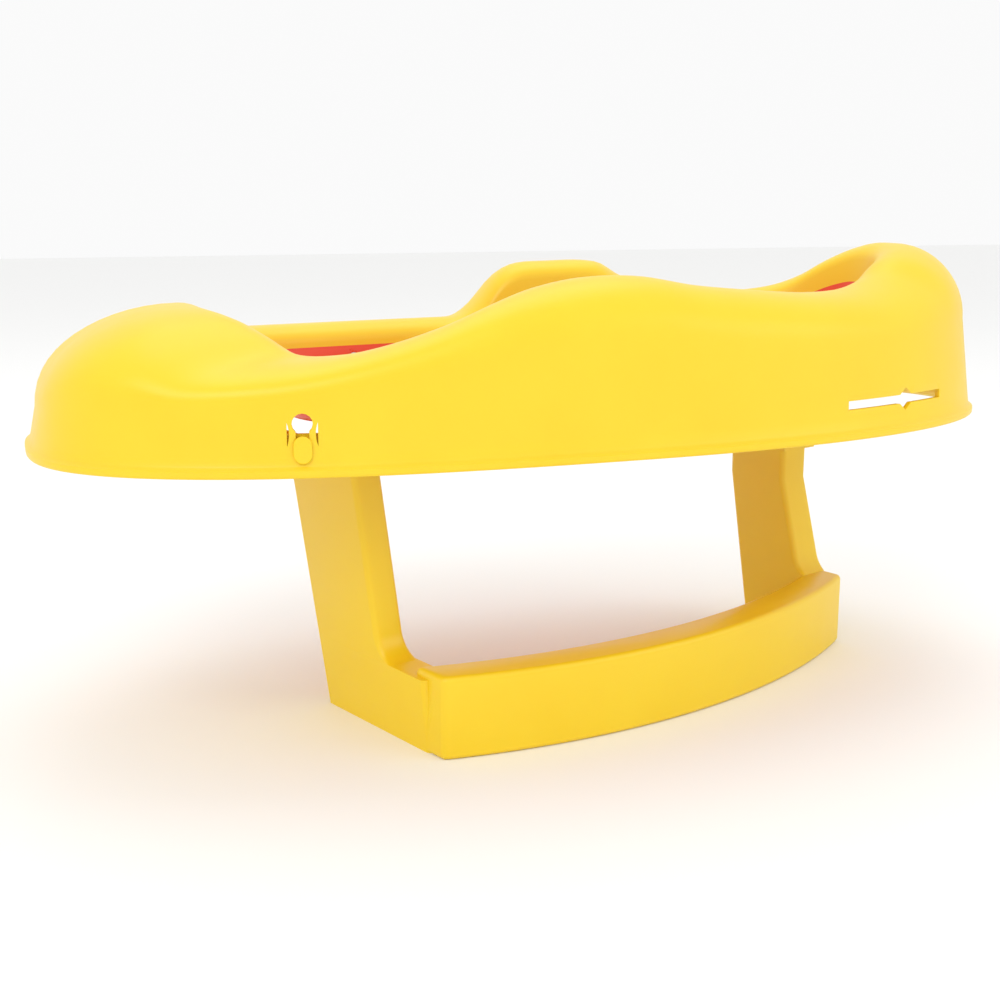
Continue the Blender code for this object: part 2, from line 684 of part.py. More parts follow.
def make_latch_bar():
    """A plate on the foot leg's top with an arm to each side, each ending in an upright tab."""
    low = LIP_Z - LEG_TOP_GAP + GAP
    high = low + LATCH_PLATE
    share = LATCH_PLATE_MARGIN
    corners = [foot_leg_top(x, y) for x, y in ((share, share), (1 - share, share), (1 - share, 1 - share),
                                               (share, 1 - share))]
    bar = add_object("latch_bar", prism([c.xy for c in corners], low, high), YELLOW)
    half = LATCH_TAB_WIDTH / 2
    tab_low = LIP_Z + LATCH_TAB_LOW
    for side, label in ((-1, "near"), (1, "far")):
        place = latch_tab_frame(side)
        tab = box((-half, -LATCH_PLATE, tab_low), (half, 0, LIP_Z + LATCH_TAB_TOP))
        tab.transform(place)
        boolean(bar, add_object("latch_tab_" + label, tab, None, CUTTERS), "UNION")
        start = foot_leg_top(0.5, 0.12 if side < 0 else 0.88).xy
        end = (place @ Vector((0, -LATCH_PLATE / 2, 0))).xy
        rise_at = start.lerp(end, (LATCH_FLAT_TO - abs(start.y)) / (abs(end.y) - abs(start.y)))
        run = (end - start).normalized()
        across = Vector((-run.y, run.x)) * (half * 0.8)
        rings = []
        for middle, lift in ((start, 0.0002), (rise_at, 0.0002), (end, tab_low - low + 0.0004)):
            rings.append([Vector((*(middle - across), low + lift)), Vector((*(middle + across), low + lift)),
                          Vector((*(middle + across), high + lift - 0.0004)),
                          Vector((*(middle - across), high + lift - 0.0004))])
        arm = loft(rings, closed_end=True)
        arm.verts.ensure_lookup_table()
        arm.faces.new(list(arm.verts)[:4])
        boolean(bar, add_object("latch_arm_" + label, arm, None, CUTTERS), "UNION")
        bore = rod((0, 0, 0), (0, -SHELL_WALL - TAB_GAP - LATCH_PLATE - 0.004, 0), STUD_PIN / 2 + GAP, 16)
        bore.transform(latch_frame(side))
        cut_with(bar, "stud_bore_" + label, bore)
    for i, point in enumerate(latch_screw_points()):
        hole = rod(point - Vector((0, 0, 0.01)), point + Vector((0, 0, 0.01)), SCREW_BORE / 2, 16)
        cut_with(bar, "latch_bar_hole_%d" % i, hole)
    apply_modifiers(bar)
    return bar


def make_studs():
    """The stud's head rests on the skirt, its neck runs through the keyhole into the latch tab."""
    for side, label in ((-1, "near"), (1, "far")):
        place = latch_frame(side)
        head = prism(capsule(STUD_WIDTH, STUD_HEIGHT, 0, 10), -GAP - STUD_HEAD, -GAP, bevel=0.0004)
        stud = add_object("latch_stud_" + label, standing(head, place), YELLOW)
        neck = rod((0, STUD_HEAD / 2, 0), (0, -SHELL_WALL - TAB_GAP * 0.3, 0), STUD_NECK / 2, 20)
        neck.transform(place)
        boolean(stud, add_object("stud_neck_" + label, neck, None, CUTTERS), "UNION")
        pin = rod((0, 0, 0), (0, -SHELL_WALL - TAB_GAP - LATCH_PLATE, 0), STUD_PIN / 2, 20)
        pin.transform(place)
        boolean(stud, add_object("stud_pin_" + label, pin, None, CUTTERS), "UNION")
        apply_modifiers(stud)


def make_screw(name, seat, direction, length=SCREW_LENGTH):
    """A pan-head screw: seat is where the head's underside rests, direction is the way its shank points."""
    seat, direction = Vector(seat), Vector(direction).normalized()
    head = rod(seat - direction * (SCREW_HEAD_HEIGHT + GAP), seat - direction * GAP, SCREW_HEAD / 2 * 0.8, 20,
               SCREW_HEAD / 2)
    screw = add_object(name, head, STEEL)
    shank = rod(seat - direction * 0.001, seat + direction * length, SCREW_SHANK / 2, 16)
    boolean(screw, add_object(name + "_shank", shank, None, CUTTERS), "UNION")
    apply_modifiers(screw)


# ---------------------------------------------------------------- socket for the head leg
def head_leg_box(grow, low, high):
    """A box round the straight top of the head leg, in the support frame's own axes."""
    outer = FRAME_SPAN - GAP + HEAD_LEG_LEAN
    bm = box((outer - HEAD_LEG_WALL - grow, HEAD_LEG_FRONT[1] - grow, LIP_Z + low),
             (outer + grow, HEAD_LEG_BACK[1] + grow, LIP_Z + high))
    bm.transform(frame_matrix())
    return bm


def socket_frame():
    """Where the socket's pad meets the far skirt."""
    back = frame_point(FRAME_SPAN - HEAD_LEG_WALL / 2, HEAD_LEG_BACK[1], 0)
    return surface_frame(skirt_point, turn_at(back.x, 1), PAD_Z)


def socket_screw_seats():
    place = socket_frame()
    return [place @ Vector((hand * PAD_SPACING / 2, SCREW_STANDOFF, 0)) for hand in (-1, 1)]


def make_head_socket(shell):
    """A sleeve round the head leg, with a pad that is screwed to the inside of the far skirt."""
    place = socket_frame()
    out = place.col[1].to_3d()
    socket = add_object("head_socket", head_leg_box(SOCKET_GAP + SOCKET_WALL, SOCKET_LOW, SOCKET_HIGH), YELLOW)
    half = PAD_HEIGHT / 2
    sleeve = frame_point(FRAME_SPAN - HEAD_LEG_WALL / 2, HEAD_LEG_BACK[1] + SOCKET_GAP, place.translation.z)
    reach = (place.translation - sleeve).dot(out) + PAD_ROOT
    pad = box((-PAD_WIDTH / 2, -reach, -half),
              (PAD_WIDTH / 2, -(SHELL_WALL + PAD_GAP), half))
    pad.transform(place)
    boolean(socket, add_object("socket_pad", pad, None, CUTTERS), "UNION")
    cut_with(socket, "head_socket_bore", head_leg_box(SOCKET_GAP, SOCKET_LOW - 0.01, SOCKET_HIGH + 0.03))
    for i, seat in enumerate(socket_screw_seats()):
        bore = rod(seat + out * 0.01, seat - out * (SOCKET_SCREW_LENGTH + 0.001), SCREW_BORE / 2, 16)
        boolean(shell, add_object("socket_screw_bore_%d" % i, bore, None, CUTTERS), "DIFFERENCE")
        boolean(socket, CUTTERS.objects["socket_screw_bore_%d" % i], "DIFFERENCE")
        make_screw("head_socket_screw_%d" % (i + 1), seat, -out, SOCKET_SCREW_LENGTH)
    apply_modifiers(socket)
    return socket


# ---------------------------------------------------------------- rivets
def rivet_height(turn):
    return rim_height(turn) * BUCKET_TOP_SHARE - RIVET_DROP


def rivet_frame(turn):
    return surface_frame(bucket_wall_point, turn, rivet_height(turn))


def rivet_reach(turn):
    """From the bucket's inner face to the back of the shell's inner wall."""
    place = rivet_frame(turn)
    height = rivet_height(turn)
    wall = inset_point(turn, 1, inner_wall_inset(turn, height), height)
    return (wall - place.translation).dot(place.col[1].to_3d()) + SHELL_WALL


def cut_rivet_holes(target, label):
    for i, turn in enumerate(RIVET_TURNS):
        hole = rod((0, -0.006, 0), (0, rivet_reach(turn) + 0.006, 0), RIVET_HOLE / 2, 12)
        hole.transform(rivet_frame(turn))
        cut_with(target, "rivet_hole_%s_%d" % (label, i), hole)


def make_rivets():
    """A flat head inside the bucket and a set head behind the shell's inner wall."""
    for i, turn in enumerate(RIVET_TURNS):
        place = rivet_frame(turn)
        head = rod((0, -RIVET_SLACK - RIVET_HEAD_DEPTH, 0), (0, -RIVET_SLACK, 0), RIVET_HEAD * 0.35, 16,
                   RIVET_HEAD / 2)
        head.transform(place)
        rivet = add_object("bucket_rivet_%d" % (i + 1), head, STEEL)
        back = rivet_reach(turn) + RIVET_SLACK
        shank = rod((0, -RIVET_SLACK - RIVET_HEAD_DEPTH / 2, 0), (0, back + RIVET_HEAD_DEPTH / 2, 0),
                    RIVET_SHANK / 2, 12)
        shank.transform(place)
        boolean(rivet, add_object("rivet_shank_%d" % i, shank, None, CUTTERS), "UNION")
        tail = rod((0, back, 0), (0, back + RIVET_HEAD_DEPTH, 0), RIVET_HEAD * 0.4, 16)
        tail.transform(place)
        boolean(rivet, add_object("rivet_tail_%d" % i, tail, None, CUTTERS), "UNION")
        apply_modifiers(rivet)


# ---------------------------------------------------------------- harness
def floor_world(x):
    return LIP_Z + bucket_floor_z(x)


def ribbon(name, path, width):
    """A flat strap: a rectangle carried along a path of (x, y, z) with its width across Y."""
    rings = []
    for i, point in enumerate(path):
        before = Vector(path[max(i - 1, 0)])
        after = Vector(path[min(i + 1, len(path) - 1)])
        run = (after - before).normalized()
        level = Vector((path[-1][0] - path[0][0], path[-1][1] - path[0][1], 0)).normalized()
        across = Vector((-level.y, level.x, 0))
        thick = run.cross(across).normalized() * (WEBBING_THICK / 2)
        half = across * (width / 2)
        middle = Vector(point)
        rings.append([middle - half - thick, middle + half - thick,
                      middle + half + thick, middle - half + thick])
    bm = loft(rings, closed_end=True)
    bm.verts.ensure_lookup_table()
    bm.faces.new(list(bm.verts)[:4])
    return add_object(name, bm, WEB)


def bend(corner_x, corner_z, radius, start, end, steps=5):
    """Points round a bend in the XZ plane, angles in degrees from +X."""
    points = []
    for i in range(steps + 1):
        angle = math.radians(start + (end - start) * i / steps)
        points.append((corner_x + radius * math.cos(angle), corner_z + radius * math.sin(angle)))
    return points


def strap_y(x, side):
    """The shoulder straps run in from their slots to their tongues."""
    slot_x, slot_y = SHOULDER_SLOT
    end_x = BUCKLE_X + TONGUE_REACH
    share = (x - end_x) / (slot_x - end_x)
    inner_y = TONGUE_Y + LOOP_OFFSET
    return side * (inner_y + (slot_y - inner_y) * share)


def make_shoulder_straps():
    radius = 0.004
    lie = STRAP_LIFT + WEBBING_THICK / 2
    for side, label in ((-1, "near"), (1, "far")):
        slot_x = SHOULDER_SLOT[0]
        low = floor_world(slot_x)
        flat = [(slot_x, low - 0.014), (slot_x, low - 0.004)]
        flat += bend(slot_x - radius, low + lie - radius, radius, 0, 80)
        loop_x = BUCKLE_X + TONGUE_REACH - LOOP_EDGE
        count = 9
        for i in range(1, count + 1):
            x = slot_x - radius * 1.5 + (loop_x + 0.020 - slot_x + radius * 1.5) * i / count
            flat.append((x, floor_world(x) + lie))
        ramp_z = floor_world(loop_x) + BUCKLE_LIFT + TONGUE_Z + TONGUE_THICK + 0.0026
        flat.append((loop_x + LOOP_EDGE + 0.001, ramp_z))
        flat += bend(loop_x + 0.0025, ramp_z - 0.0025, 0.0025, 100, 180, 4)
        flat.append((loop_x, ramp_z - 0.009))
        path = [(x, strap_y(x, side), z) for x, z in flat]
        ribbon("shoulder_strap_" + label, path, WEBBING)


def make_crotch_strap():
    radius = 0.004
    lie = STRAP_LIFT + WEBBING_THICK / 2
    low = floor_world(CROTCH_SLOT_X)
    flat = [(CROTCH_SLOT_X, low - 0.014), (CROTCH_SLOT_X, low - 0.004)]
    flat += bend(CROTCH_SLOT_X + radius, low + lie - radius, radius, 180, 100)
    rear = BUCKLE_X - BUCKLE_SIZE[0] / 2
    for share in (0.2, 0.45):
        x = CROTCH_SLOT_X + radius + (rear - CROTCH_SLOT_X - radius) * share
        flat.append((x, floor_world(x) + lie))
    middle = BUCKLE_LIFT + BUCKLE_WALL + 0.0022
    flat.append((rear - 0.004, floor_world(rear) + middle))
    flat.append((rear + 0.007, floor_world(rear) + middle))
    ribbon("crotch_strap", [(x, 0, z) for x, z in flat], WEBBING)


def make_buckle():
    length, width, height = BUCKLE_SIZE
    bottom = floor_world(BUCKLE_X) + BUCKLE_LIFT
    low_x, high_x = BUCKLE_X - length / 2, BUCKLE_X + length / 2
    body = box((low_x, -width / 2, bottom), (high_x, width / 2, bottom + height))
    bmesh.ops.bevel(body, geom=list(body.edges), offset=0.003, segments=2, affect="EDGES", profile=0.5)
    housing = add_object("buckle_housing", body, BLACK)
    wall = BUCKLE_WALL
    cavity = box((low_x + wall, -width / 2 + wall, bottom + wall),
                 (high_x + 0.01, width / 2 - wall, bottom + height - wall))
    cut_with(housing, "buckle_cavity", cavity)
    entry = box((low_x - 0.01, -WEBBING / 2 - 0.001, bottom + wall + 0.0004),
                (low_x + wall + 0.002, WEBBING / 2 + 0.001, bottom + wall + 0.0046))
    cut_with(housing, "buckle_strap_entry", entry)
    bx, by, bz = BUTTON_SIZE
    window = box((BUCKLE_X - bx / 2 - BUTTON_GAP, -by / 2 - BUTTON_GAP, bottom + height - wall - 0.005),
                 (BUCKLE_X + bx / 2 + BUTTON_GAP, by / 2 + BUTTON_GAP, bottom + height + 0.01))
    cut_with(housing, "buckle_window", window)
    apply_modifiers(housing)
    top = bottom + height + BUTTON_PROUD
    press = box((BUCKLE_X - bx / 2, -by / 2, top - bz), (BUCKLE_X + bx / 2, by / 2, top))
    bmesh.ops.bevel(press, geom=list(press.edges), offset=0.001, segments=2, affect="EDGES", profile=0.5)
    add_object("buckle_button", press, BUTTON)
    make_spring(bottom + wall)
    for side, label in ((-1, "near"), (1, "far")):
        make_tongue("buckle_tongue_" + label, side, bottom + TONGUE_Z)


def make_spring(base):
    """A short coil under the release button."""
    turns, per_turn, radius, wire = 3, 12, 0.0045, 0.0008
    pitch = 0.0013
    curve = bpy.data.curves.new("buckle_spring", "CURVE")
    curve.dimensions = "3D"
    curve.bevel_depth = wire / 2
    curve.bevel_resolution = 1
    curve.use_fill_caps = True
    spline = curve.splines.new("POLY")
    spline.points.add(turns * per_turn)
    for i, point in enumerate(spline.points):
        angle = 2 * math.pi * i / per_turn
        point.co = (BUCKLE_X + radius * math.cos(angle), radius * math.sin(angle),
                    base + wire / 2 + GAP + pitch * i / per_turn, 1)
    spring = bpy.data.objects.new("buckle_spring", curve)
    curve.materials.append(STEEL)
    PARTS.objects.link(spring)


def make_tongue(name, side, low):
    """A flat tongue with a strap loop at its outer end."""
    start = BUCKLE_X + BUTTON_SIZE[0] / 2 + 0.0022
    end = BUCKLE_X + TONGUE_REACH
    half = TONGUE_WIDTH / 2
    wide = WEBBING / 2 + 0.0045
    middle = side * TONGUE_Y
    outside = BUCKLE_X + BUCKLE_SIZE[0] / 2 + 0.004
    loop_x = end - LOOP_EDGE
    centre = strap_y(loop_x, side)
    inner = 0.0004
    low_wide = max(centre - wide, inner) if side > 0 else centre - wide
    high_wide = centre + wide if side > 0 else min(centre + wide, -inner)
    outline = [(start, middle - half * 0.7), (start + 0.004, middle - half), (outside, middle - half),
               (outside + 0.004, low_wide), (end, low_wide), (end, high_wide),
               (outside + 0.004, high_wide), (outside, middle + half), (start + 0.004, middle + half),
               (start, middle + half * 0.7)]
    tongue = add_object(name, prism(outline, low, low + TONGUE_THICK), STEEL)
    loop = box((loop_x - 0.0045, centre - WEBBING / 2 - 0.002, low - 0.01),
               (loop_x + 0.0045, centre + WEBBING / 2 + 0.002, low + 0.01))
    cut_with(tongue, name + "_loop", loop)
    apply_modifiers(tongue)


def make_anchors():
    """Slotted plates under the bucket that the straps' lower ends pass through."""
    places = [("near", SHOULDER_SLOT[0], -SHOULDER_SLOT[1]), ("far", SHOULDER_SLOT[0], SHOULDER_SLOT[1]),
              ("crotch", CROTCH_SLOT_X, 0.0)]
    length, width, thick = ANCHOR_SIZE
    for label, x, y in places:
        top = floor_world(x) - BUCKET_WALL - ANCHOR_GAP
        plate = box((x - length / 2, y - width / 2, top - thick), (x + length / 2, y + width / 2, top))
        bmesh.ops.bevel(plate, geom=list(plate.edges), offset=0.0006, segments=1, affect="EDGES", profile=0.5)
        anchor = add_object("strap_anchor_" + label, plate, STEEL)
        slot = box((x - STRAP_SLOT[0] / 2, y - STRAP_SLOT[1] / 2, top - 0.01),
                   (x + STRAP_SLOT[0] / 2, y + STRAP_SLOT[1] / 2, top + 0.01))
        cut_with(anchor, "anchor_slot_" + label, slot)
        apply_modifiers(anchor)


def cut_bucket_slots(bucket):
    places = [(SHOULDER_SLOT[0], -SHOULDER_SLOT[1]), (SHOULDER_SLOT[0], SHOULDER_SLOT[1]), (CROTCH_SLOT_X, 0.0)]
    for i, (x, y) in enumerate(places):
        z = floor_world(x)
        slot = box((x - STRAP_SLOT[0] / 2, y - STRAP_SLOT[1] / 2, z - 0.012),
                   (x + STRAP_SLOT[0] / 2, y + STRAP_SLOT[1] / 2, z + 0.008))
        cut_with(bucket, "bucket_slot_%d" % i, slot)


def main():
    shell = make_shell()
    cut_keyholes(shell)
    cut_strap_slots(shell)
    cut_rivet_holes(shell, "shell")
    bucket = make_bucket()
    cut_bucket_slots(bucket)
    cut_rivet_holes(bucket, "bucket")
    frame = make_frame()
    for i, point in enumerate(latch_screw_points()):
        bottom = point - Vector((0, 0, SCREW_LENGTH + 0.002))
        bore = rod(bottom, point + Vector((0, 0, 0.01)), SCREW_BORE / 2, 16)
        cut_with(frame, "leg_bore_%d" % i, bore)
    make_latch_bar()
    make_studs()
    for i, point in enumerate(latch_screw_points()):
        seat = point + Vector((0, 0, GAP + LATCH_PLATE))
        make_screw("latch_bar_screw_%d" % (i + 1), seat, (0, 0, -1), LATCH_PLATE + SCREW_LENGTH)
    make_head_socket(shell)
    make_rivets()
    make_shoulder_straps()
    make_crotch_strap()
    make_buckle()
    make_anchors()
    for target in (shell, bucket, frame):
        apply_modifiers(target)
    for part in PARTS.objects:
        if part.type == "MESH":
            smooth(part)


main()
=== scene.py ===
import json
import math

import bmesh
import bpy
from mathutils import Matrix, Vector


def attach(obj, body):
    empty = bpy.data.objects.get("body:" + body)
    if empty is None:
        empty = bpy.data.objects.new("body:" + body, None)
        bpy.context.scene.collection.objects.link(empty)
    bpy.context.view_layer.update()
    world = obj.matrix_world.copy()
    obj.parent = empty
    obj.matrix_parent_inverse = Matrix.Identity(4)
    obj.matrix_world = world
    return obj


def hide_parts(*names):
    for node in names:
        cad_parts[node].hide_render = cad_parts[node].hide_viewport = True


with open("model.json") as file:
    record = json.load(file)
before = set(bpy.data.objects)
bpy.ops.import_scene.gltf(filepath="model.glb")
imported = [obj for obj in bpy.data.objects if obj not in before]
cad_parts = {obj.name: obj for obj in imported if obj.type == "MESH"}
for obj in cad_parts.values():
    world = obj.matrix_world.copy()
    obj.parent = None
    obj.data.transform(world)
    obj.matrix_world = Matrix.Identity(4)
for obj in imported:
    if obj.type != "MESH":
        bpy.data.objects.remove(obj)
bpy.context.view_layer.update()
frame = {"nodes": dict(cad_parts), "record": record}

bl_info = {
    "name": "Infant Seat",
    "version": (1, 0, 0),
    "blender": (4, 5, 0),
    "location": "View3D > Sidebar > Seat",
    "description": "Builds a moulded infant seat on its support frame, with finishes and a stage",
    "category": "Add Mesh",
}


# ---------------------------------------------------------------- sizes, in metres
SHELL_LENGTH = 0.648          # lip to lip, foot to head
SHELL_WIDTH = 0.296
FOOT_SQUARENESS = 2.7         # superellipse exponents of the plan outline
HEAD_SQUARENESS = 2.2
LIP_Z = 0.178                 # underside of the skirt above the floor
SHELL_WALL = 0.0034
LIP_PROUD = 0.003             # the bottom bead stands out from the skirt
LIP_HEIGHT = 0.0045
SKIRT_DRAFT = 0.004           # how far the skirt leans in up to the shoulder, at the sides
SKIRT_DRAFT_FOOT = 0.007
SKIRT_DRAFT_HEAD = 0.013
RIDGE_INSET_SIDE = 0.037      # lip to the highest line of the rim
RIDGE_INSET_FOOT = 0.093
RIDGE_INSET_HEAD = 0.060
MOUTH_ROLL = 0.018            # ridge to the mouth of the tub
MOUTH_DROP = 0.012
INNER_WALL_LAP = 0.016        # the shell's inner wall reaches this far below the bucket's top edge
INNER_WALL_DRAFT = 0.003
NEAR_RIM = ((0, 0.085), (20, 0.084), (30, 0.080), (37, 0.072), (44, 0.061), (52, 0.061),
            (59, 0.066), (67, 0.077), (74, 0.090), (79, 0.097), (86, 0.102), (94, 0.102),
            (102, 0.096), (111, 0.092), (121, 0.089), (131, 0.090), (141, 0.097),
            (149, 0.107), (163, 0.114), (180, 0.115))
FAR_RIM = ((0, 0.085), (16, 0.080), (30, 0.067), (45, 0.062), (82, 0.062), (86, 0.064),
           (89, 0.074), (92, 0.091), (95, 0.099), (100, 0.101), (109, 0.100), (113, 0.090),
           (118, 0.081), (132, 0.078), (141, 0.081), (149, 0.089), (158, 0.102),
           (168, 0.111), (180, 0.115))
SHOULDER_SHARE_FOOT = 0.27    # height of the skirt's shoulder as a share of the rim height
SHOULDER_SHARE = 0.69
SHOULDER_SHARE_HEAD = 0.50
SHOULDER_BLEND_DEG = 50
BUCKET_WALL = 0.003
BUCKET_GAP = 0.0008           # shell's inner wall to the bucket
BUCKET_TOP_SHARE = 0.765      # bucket's top edge as a share of the rim height
BUCKET_DRAFT = 0.008          # top edge to the foot of the bucket's wall, at the sides
BUCKET_DRAFT_END = 0.030
SEAT_Z = 0.016                # bucket floor above the lip, at the seat
HEADREST_Z = 0.034            # and at the head end
FLOOR_ROUND = 0.016
FRAME_TURN = math.radians(18.7)     # the frame stands turned under the seat
FRAME_CORNER = (-0.106, -0.121)     # outer foot-side corner of the frame, on the floor
FRAME_SPAN = 0.367                  # outside of leg to outside of leg
BAR_WALL = 0.028                    # thickness of the bar
BAR_HEIGHT = 0.0515
BAR_BOW = 0.038                     # how far the bar bows out of its chord
LEG_CLIP = 0.004                    # clipped corners of the legs
FOOT_LEG_WALL = 0.0208
FOOT_LEG_FRONT = (0.056, 0.069)     # behind the frame's corner, at the floor and at the top
FOOT_LEG_BACK = (0.128, 0.145)
FOOT_LEG_LEAN = 0.0155              # outwards, from the floor to the top
HEAD_LEG_WALL = 0.0265
HEAD_LEG_FRONT = (0.004, 0.039)
HEAD_LEG_BACK = (0.068, 0.091)
HEAD_LEG_LEAN = 0.0020
SIDE_RAIL_HEIGHT = 0.0465           # from the leg forward to the bar
LEG_FILLET = 0.016                  # between the side rail and the leg's front
TENON = 0.050                       # straight length at the top of the head leg
LEG_TOP_GAP = 0.0085                # leg top below the lip plane
LATCH_LIFT = 0.014                  # travel of the frame in the keyholes
LATCH_X = -0.1885
LATCH_Z = 0.0150                    # stud above the lip plane
KEY_NECK = 0.0072                   # width of the keyhole's slot
KEY_HOLE = 0.0112                   # the round entry at its top
RELIEF_AT = 0.0083                  # relief slits beside the waist of the keyhole
RELIEF_WIDTH = 0.0012
RELIEF_LENGTH = 0.013
SLOT_X = (0.157, 0.248)             # strap slot in the skirt, foot-side and head-side ends
SLOT_Z = 0.0215
SLOT_HEIGHT = 0.0056
SLOT_NOTCH_AT = 0.57                # place of the notch along the slot
SLOT_NOTCH_HEIGHT = 0.0145
SLOT_NOTCH_LENGTH = 0.012
PAD_Z = 0.0118                      # middle of the pad above the lip plane
PAD_SPACING = 0.024                 # between its two screws
SOCKET_SCREW_LENGTH = 0.011
SCREW_STANDOFF = 0.0009             # heads clear of the curved skirt
RIVET_TURNS = (24, 62, 118, 158, 202, 242, 298, 336)
RIVET_DROP = 0.0085                 # bucket's top edge to the rivet
RIVET_HOLE = 0.0044
SCREW_BORE = 0.0042
STRAP_SLOT = (0.0078, 0.031)
SHOULDER_SLOT = (0.150, 0.036)      # X, and Y of each side's strap slot
CROTCH_SLOT_X = -0.100
GAP = 0.0003                        # between solids that touch
RELIEF_Z_SHARE = 0.6                # middle of a relief slit, as a share of the latch's lift
LIP_ROUND = 0.0006                  # rounding of the lip's edges and of the step to the skirt
LIP_EASE = 0.0001                   # how little the lip's flat band curves in
OUTLINE_STEPS = 2000                # fine steps that the even spacing is measured on
KEYHOLE_CUT = 0.012                 # cutters reach this far to each side of a wall
STRAP_SLOT_CUT = 0.02
RIVET_CUT = 0.006
SOCKET_CUT = (0.010, 0.001)         # outside the skirt, and past the screw's end
BUCKET_SLOT_CUT = (0.012, 0.008)    # below and above the bucket's floor
CUT_EDGE_DEG = 50                   # edges of a cut-out sharper than this are rounded
BAR_EDGE_DEG = 40
SMOOTH_DEG = 38                     # shading breaks at edges sharper than this
FLOOR_SHARES = (0.85, 0.66, 0.5, 0.33, 0.15, 0.03)  # rings of the bucket's floor, edge to middle
WEAVE_SCALE = 1 / 0.0016 / 6.28     # bands 3.2 mm apart: a Wave texture repeats every 0.314 / scale
MIX_LOW, MIX_HIGH, MIX_RESULT = 6, 7, 2  # a Mix node's colour sockets
LIGHT_TARGET = (0.0, 0.0, 0.16)
LIGHTS = (("key", (-1.3, -1.7, 1.9), 1.4), ("fill", (1.7, -1.5, 0.9), 1.2), ("top", (0.2, 0.6, 2.2), 1.6))
CAMERA_PLACE = (-0.3389, -0.8584, 0.326)
CAMERA_HEADING, CAMERA_PITCH = math.radians(20.0), math.radians(-12.29)
SENSOR_WIDTH = 36.0                 # millimetres


# ---------------------------------------------------------------- rules of the shape
def catmull(keys, at):
    """A smooth value through the keys, even where they are unevenly spaced."""
    at = min(max(at, keys[0][0]), keys[-1][0])
    index = max(i for i in range(len(keys) - 1) if keys[i][0] <= at)

    def slope(i):
        low, high = max(i - 1, 0), min(i + 1, len(keys) - 1)
        if i in (0, len(keys) - 1):
            return 0.0
        return (keys[high][1] - keys[low][1]) / (keys[high][0] - keys[low][0])

    (x0, y0), (x1, y1) = keys[index], keys[index + 1]
    span = x1 - x0
    t = (at - x0) / span
    h00 = (1 + 2 * t) * (1 - t) ** 2
    h10 = t * (1 - t) ** 2
    h01 = t * t * (3 - 2 * t)
    h11 = t * t * (t - 1)
    return h00 * y0 + h10 * span * slope(index) + h01 * y1 + h11 * span * slope(index + 1)


def unit_outline(turn):
    """The plan outline for half-lengths of one.

    Turn 0 is the foot end and 180 the head end, with the near side first.
    """
    angle = math.radians(turn)
    power = FOOT_SQUARENESS if math.cos(angle) > 0 else HEAD_SQUARENESS
    reach = (abs(math.cos(angle)) ** power + abs(math.sin(angle)) ** power) ** (-1 / power)
    return -math.cos(angle) * reach, -math.sin(angle) * reach


def rim_height(turn):
    turn = turn % 360
    return catmull(NEAR_RIM, turn) if turn <= 180 else catmull(FAR_RIM, 360 - turn)


def shoulder_share(turn):
    from_foot = min(turn % 360, 360 - turn % 360)
    end_share = SHOULDER_SHARE_FOOT if from_foot < 90 else SHOULDER_SHARE_HEAD
    blend = min(min(from_foot, 180 - from_foot) / SHOULDER_BLEND_DEG, 1.0)
    blend = blend * blend * (3 - 2 * blend)
    return end_share + (SHOULDER_SHARE - end_share) * blend


def plan_point(turn, side_inset, foot_inset, head_inset, z):
    x, y = unit_outline(turn)
    half = SHELL_LENGTH / 2 - (foot_inset if x < 0 else head_inset)
    return Vector((x * half, y * (SHELL_WIDTH / 2 - side_inset), LIP_Z + z))


def even_turns(count):
    """Turns spaced evenly along the lip, not evenly in angle."""
    fine = [360 * i / OUTLINE_STEPS for i in range(OUTLINE_STEPS + 1)]
    points = [plan_point(turn, 0, 0, 0, 0) for turn in fine]
    walked = [0.0]
    for a, b in zip(points, points[1:]):
        walked.append(walked[-1] + (b - a).length)
    turns = []
    index = 0
    for i in range(count):
        goal = walked[-1] * i / count
        while walked[index + 1] < goal:
            index += 1
        share = (goal - walked[index]) / (walked[index + 1] - walked[index])
        turns.append(fine[index] + share * (fine[index + 1] - fine[index]))
    return turns


def inset_point(turn, share, extra, z):
    """A point in from the lip, plus an extra in metres.

    Share -1 is the foot of the skirt, 0 its shoulder and 1 the ridge.
    """
    def inset(ridge, draft):
        if share < 0:
            return draft * (1 + share) + extra
        return draft + (ridge - draft) * share + extra
    return plan_point(turn, inset(RIDGE_INSET_SIDE, SKIRT_DRAFT),
                      inset(RIDGE_INSET_FOOT, SKIRT_DRAFT_FOOT),
                      inset(RIDGE_INSET_HEAD, SKIRT_DRAFT_HEAD), z)


def inner_wall_foot(turn):
    """Height of the lower edge of the shell's inner wall."""
    return rim_height(turn) * BUCKET_TOP_SHARE - INNER_WALL_LAP


def inner_wall_inset(turn, z):
    """How far inside the ridge the shell's inner wall stands at a height."""
    mouth = rim_height(turn) - MOUTH_DROP
    return MOUTH_ROLL + INNER_WALL_DRAFT * (mouth - z) / (mouth - inner_wall_foot(turn))


def bucket_floor_z(x):
    """Height of the bucket's floor above the lip, rising to the headrest."""
    blend = min(max((x - 0.03) / 0.17, 0.0), 1.0)
    return SEAT_Z + (HEADREST_Z - SEAT_Z) * blend * blend * (3 - 2 * blend)


def bucket_wall_point(turn, z):
    """A point of the bucket's inner face where it follows the shell's inner wall."""
    return inset_point(turn, 1, inner_wall_inset(turn, z) + BUCKET_GAP + BUCKET_WALL, z)


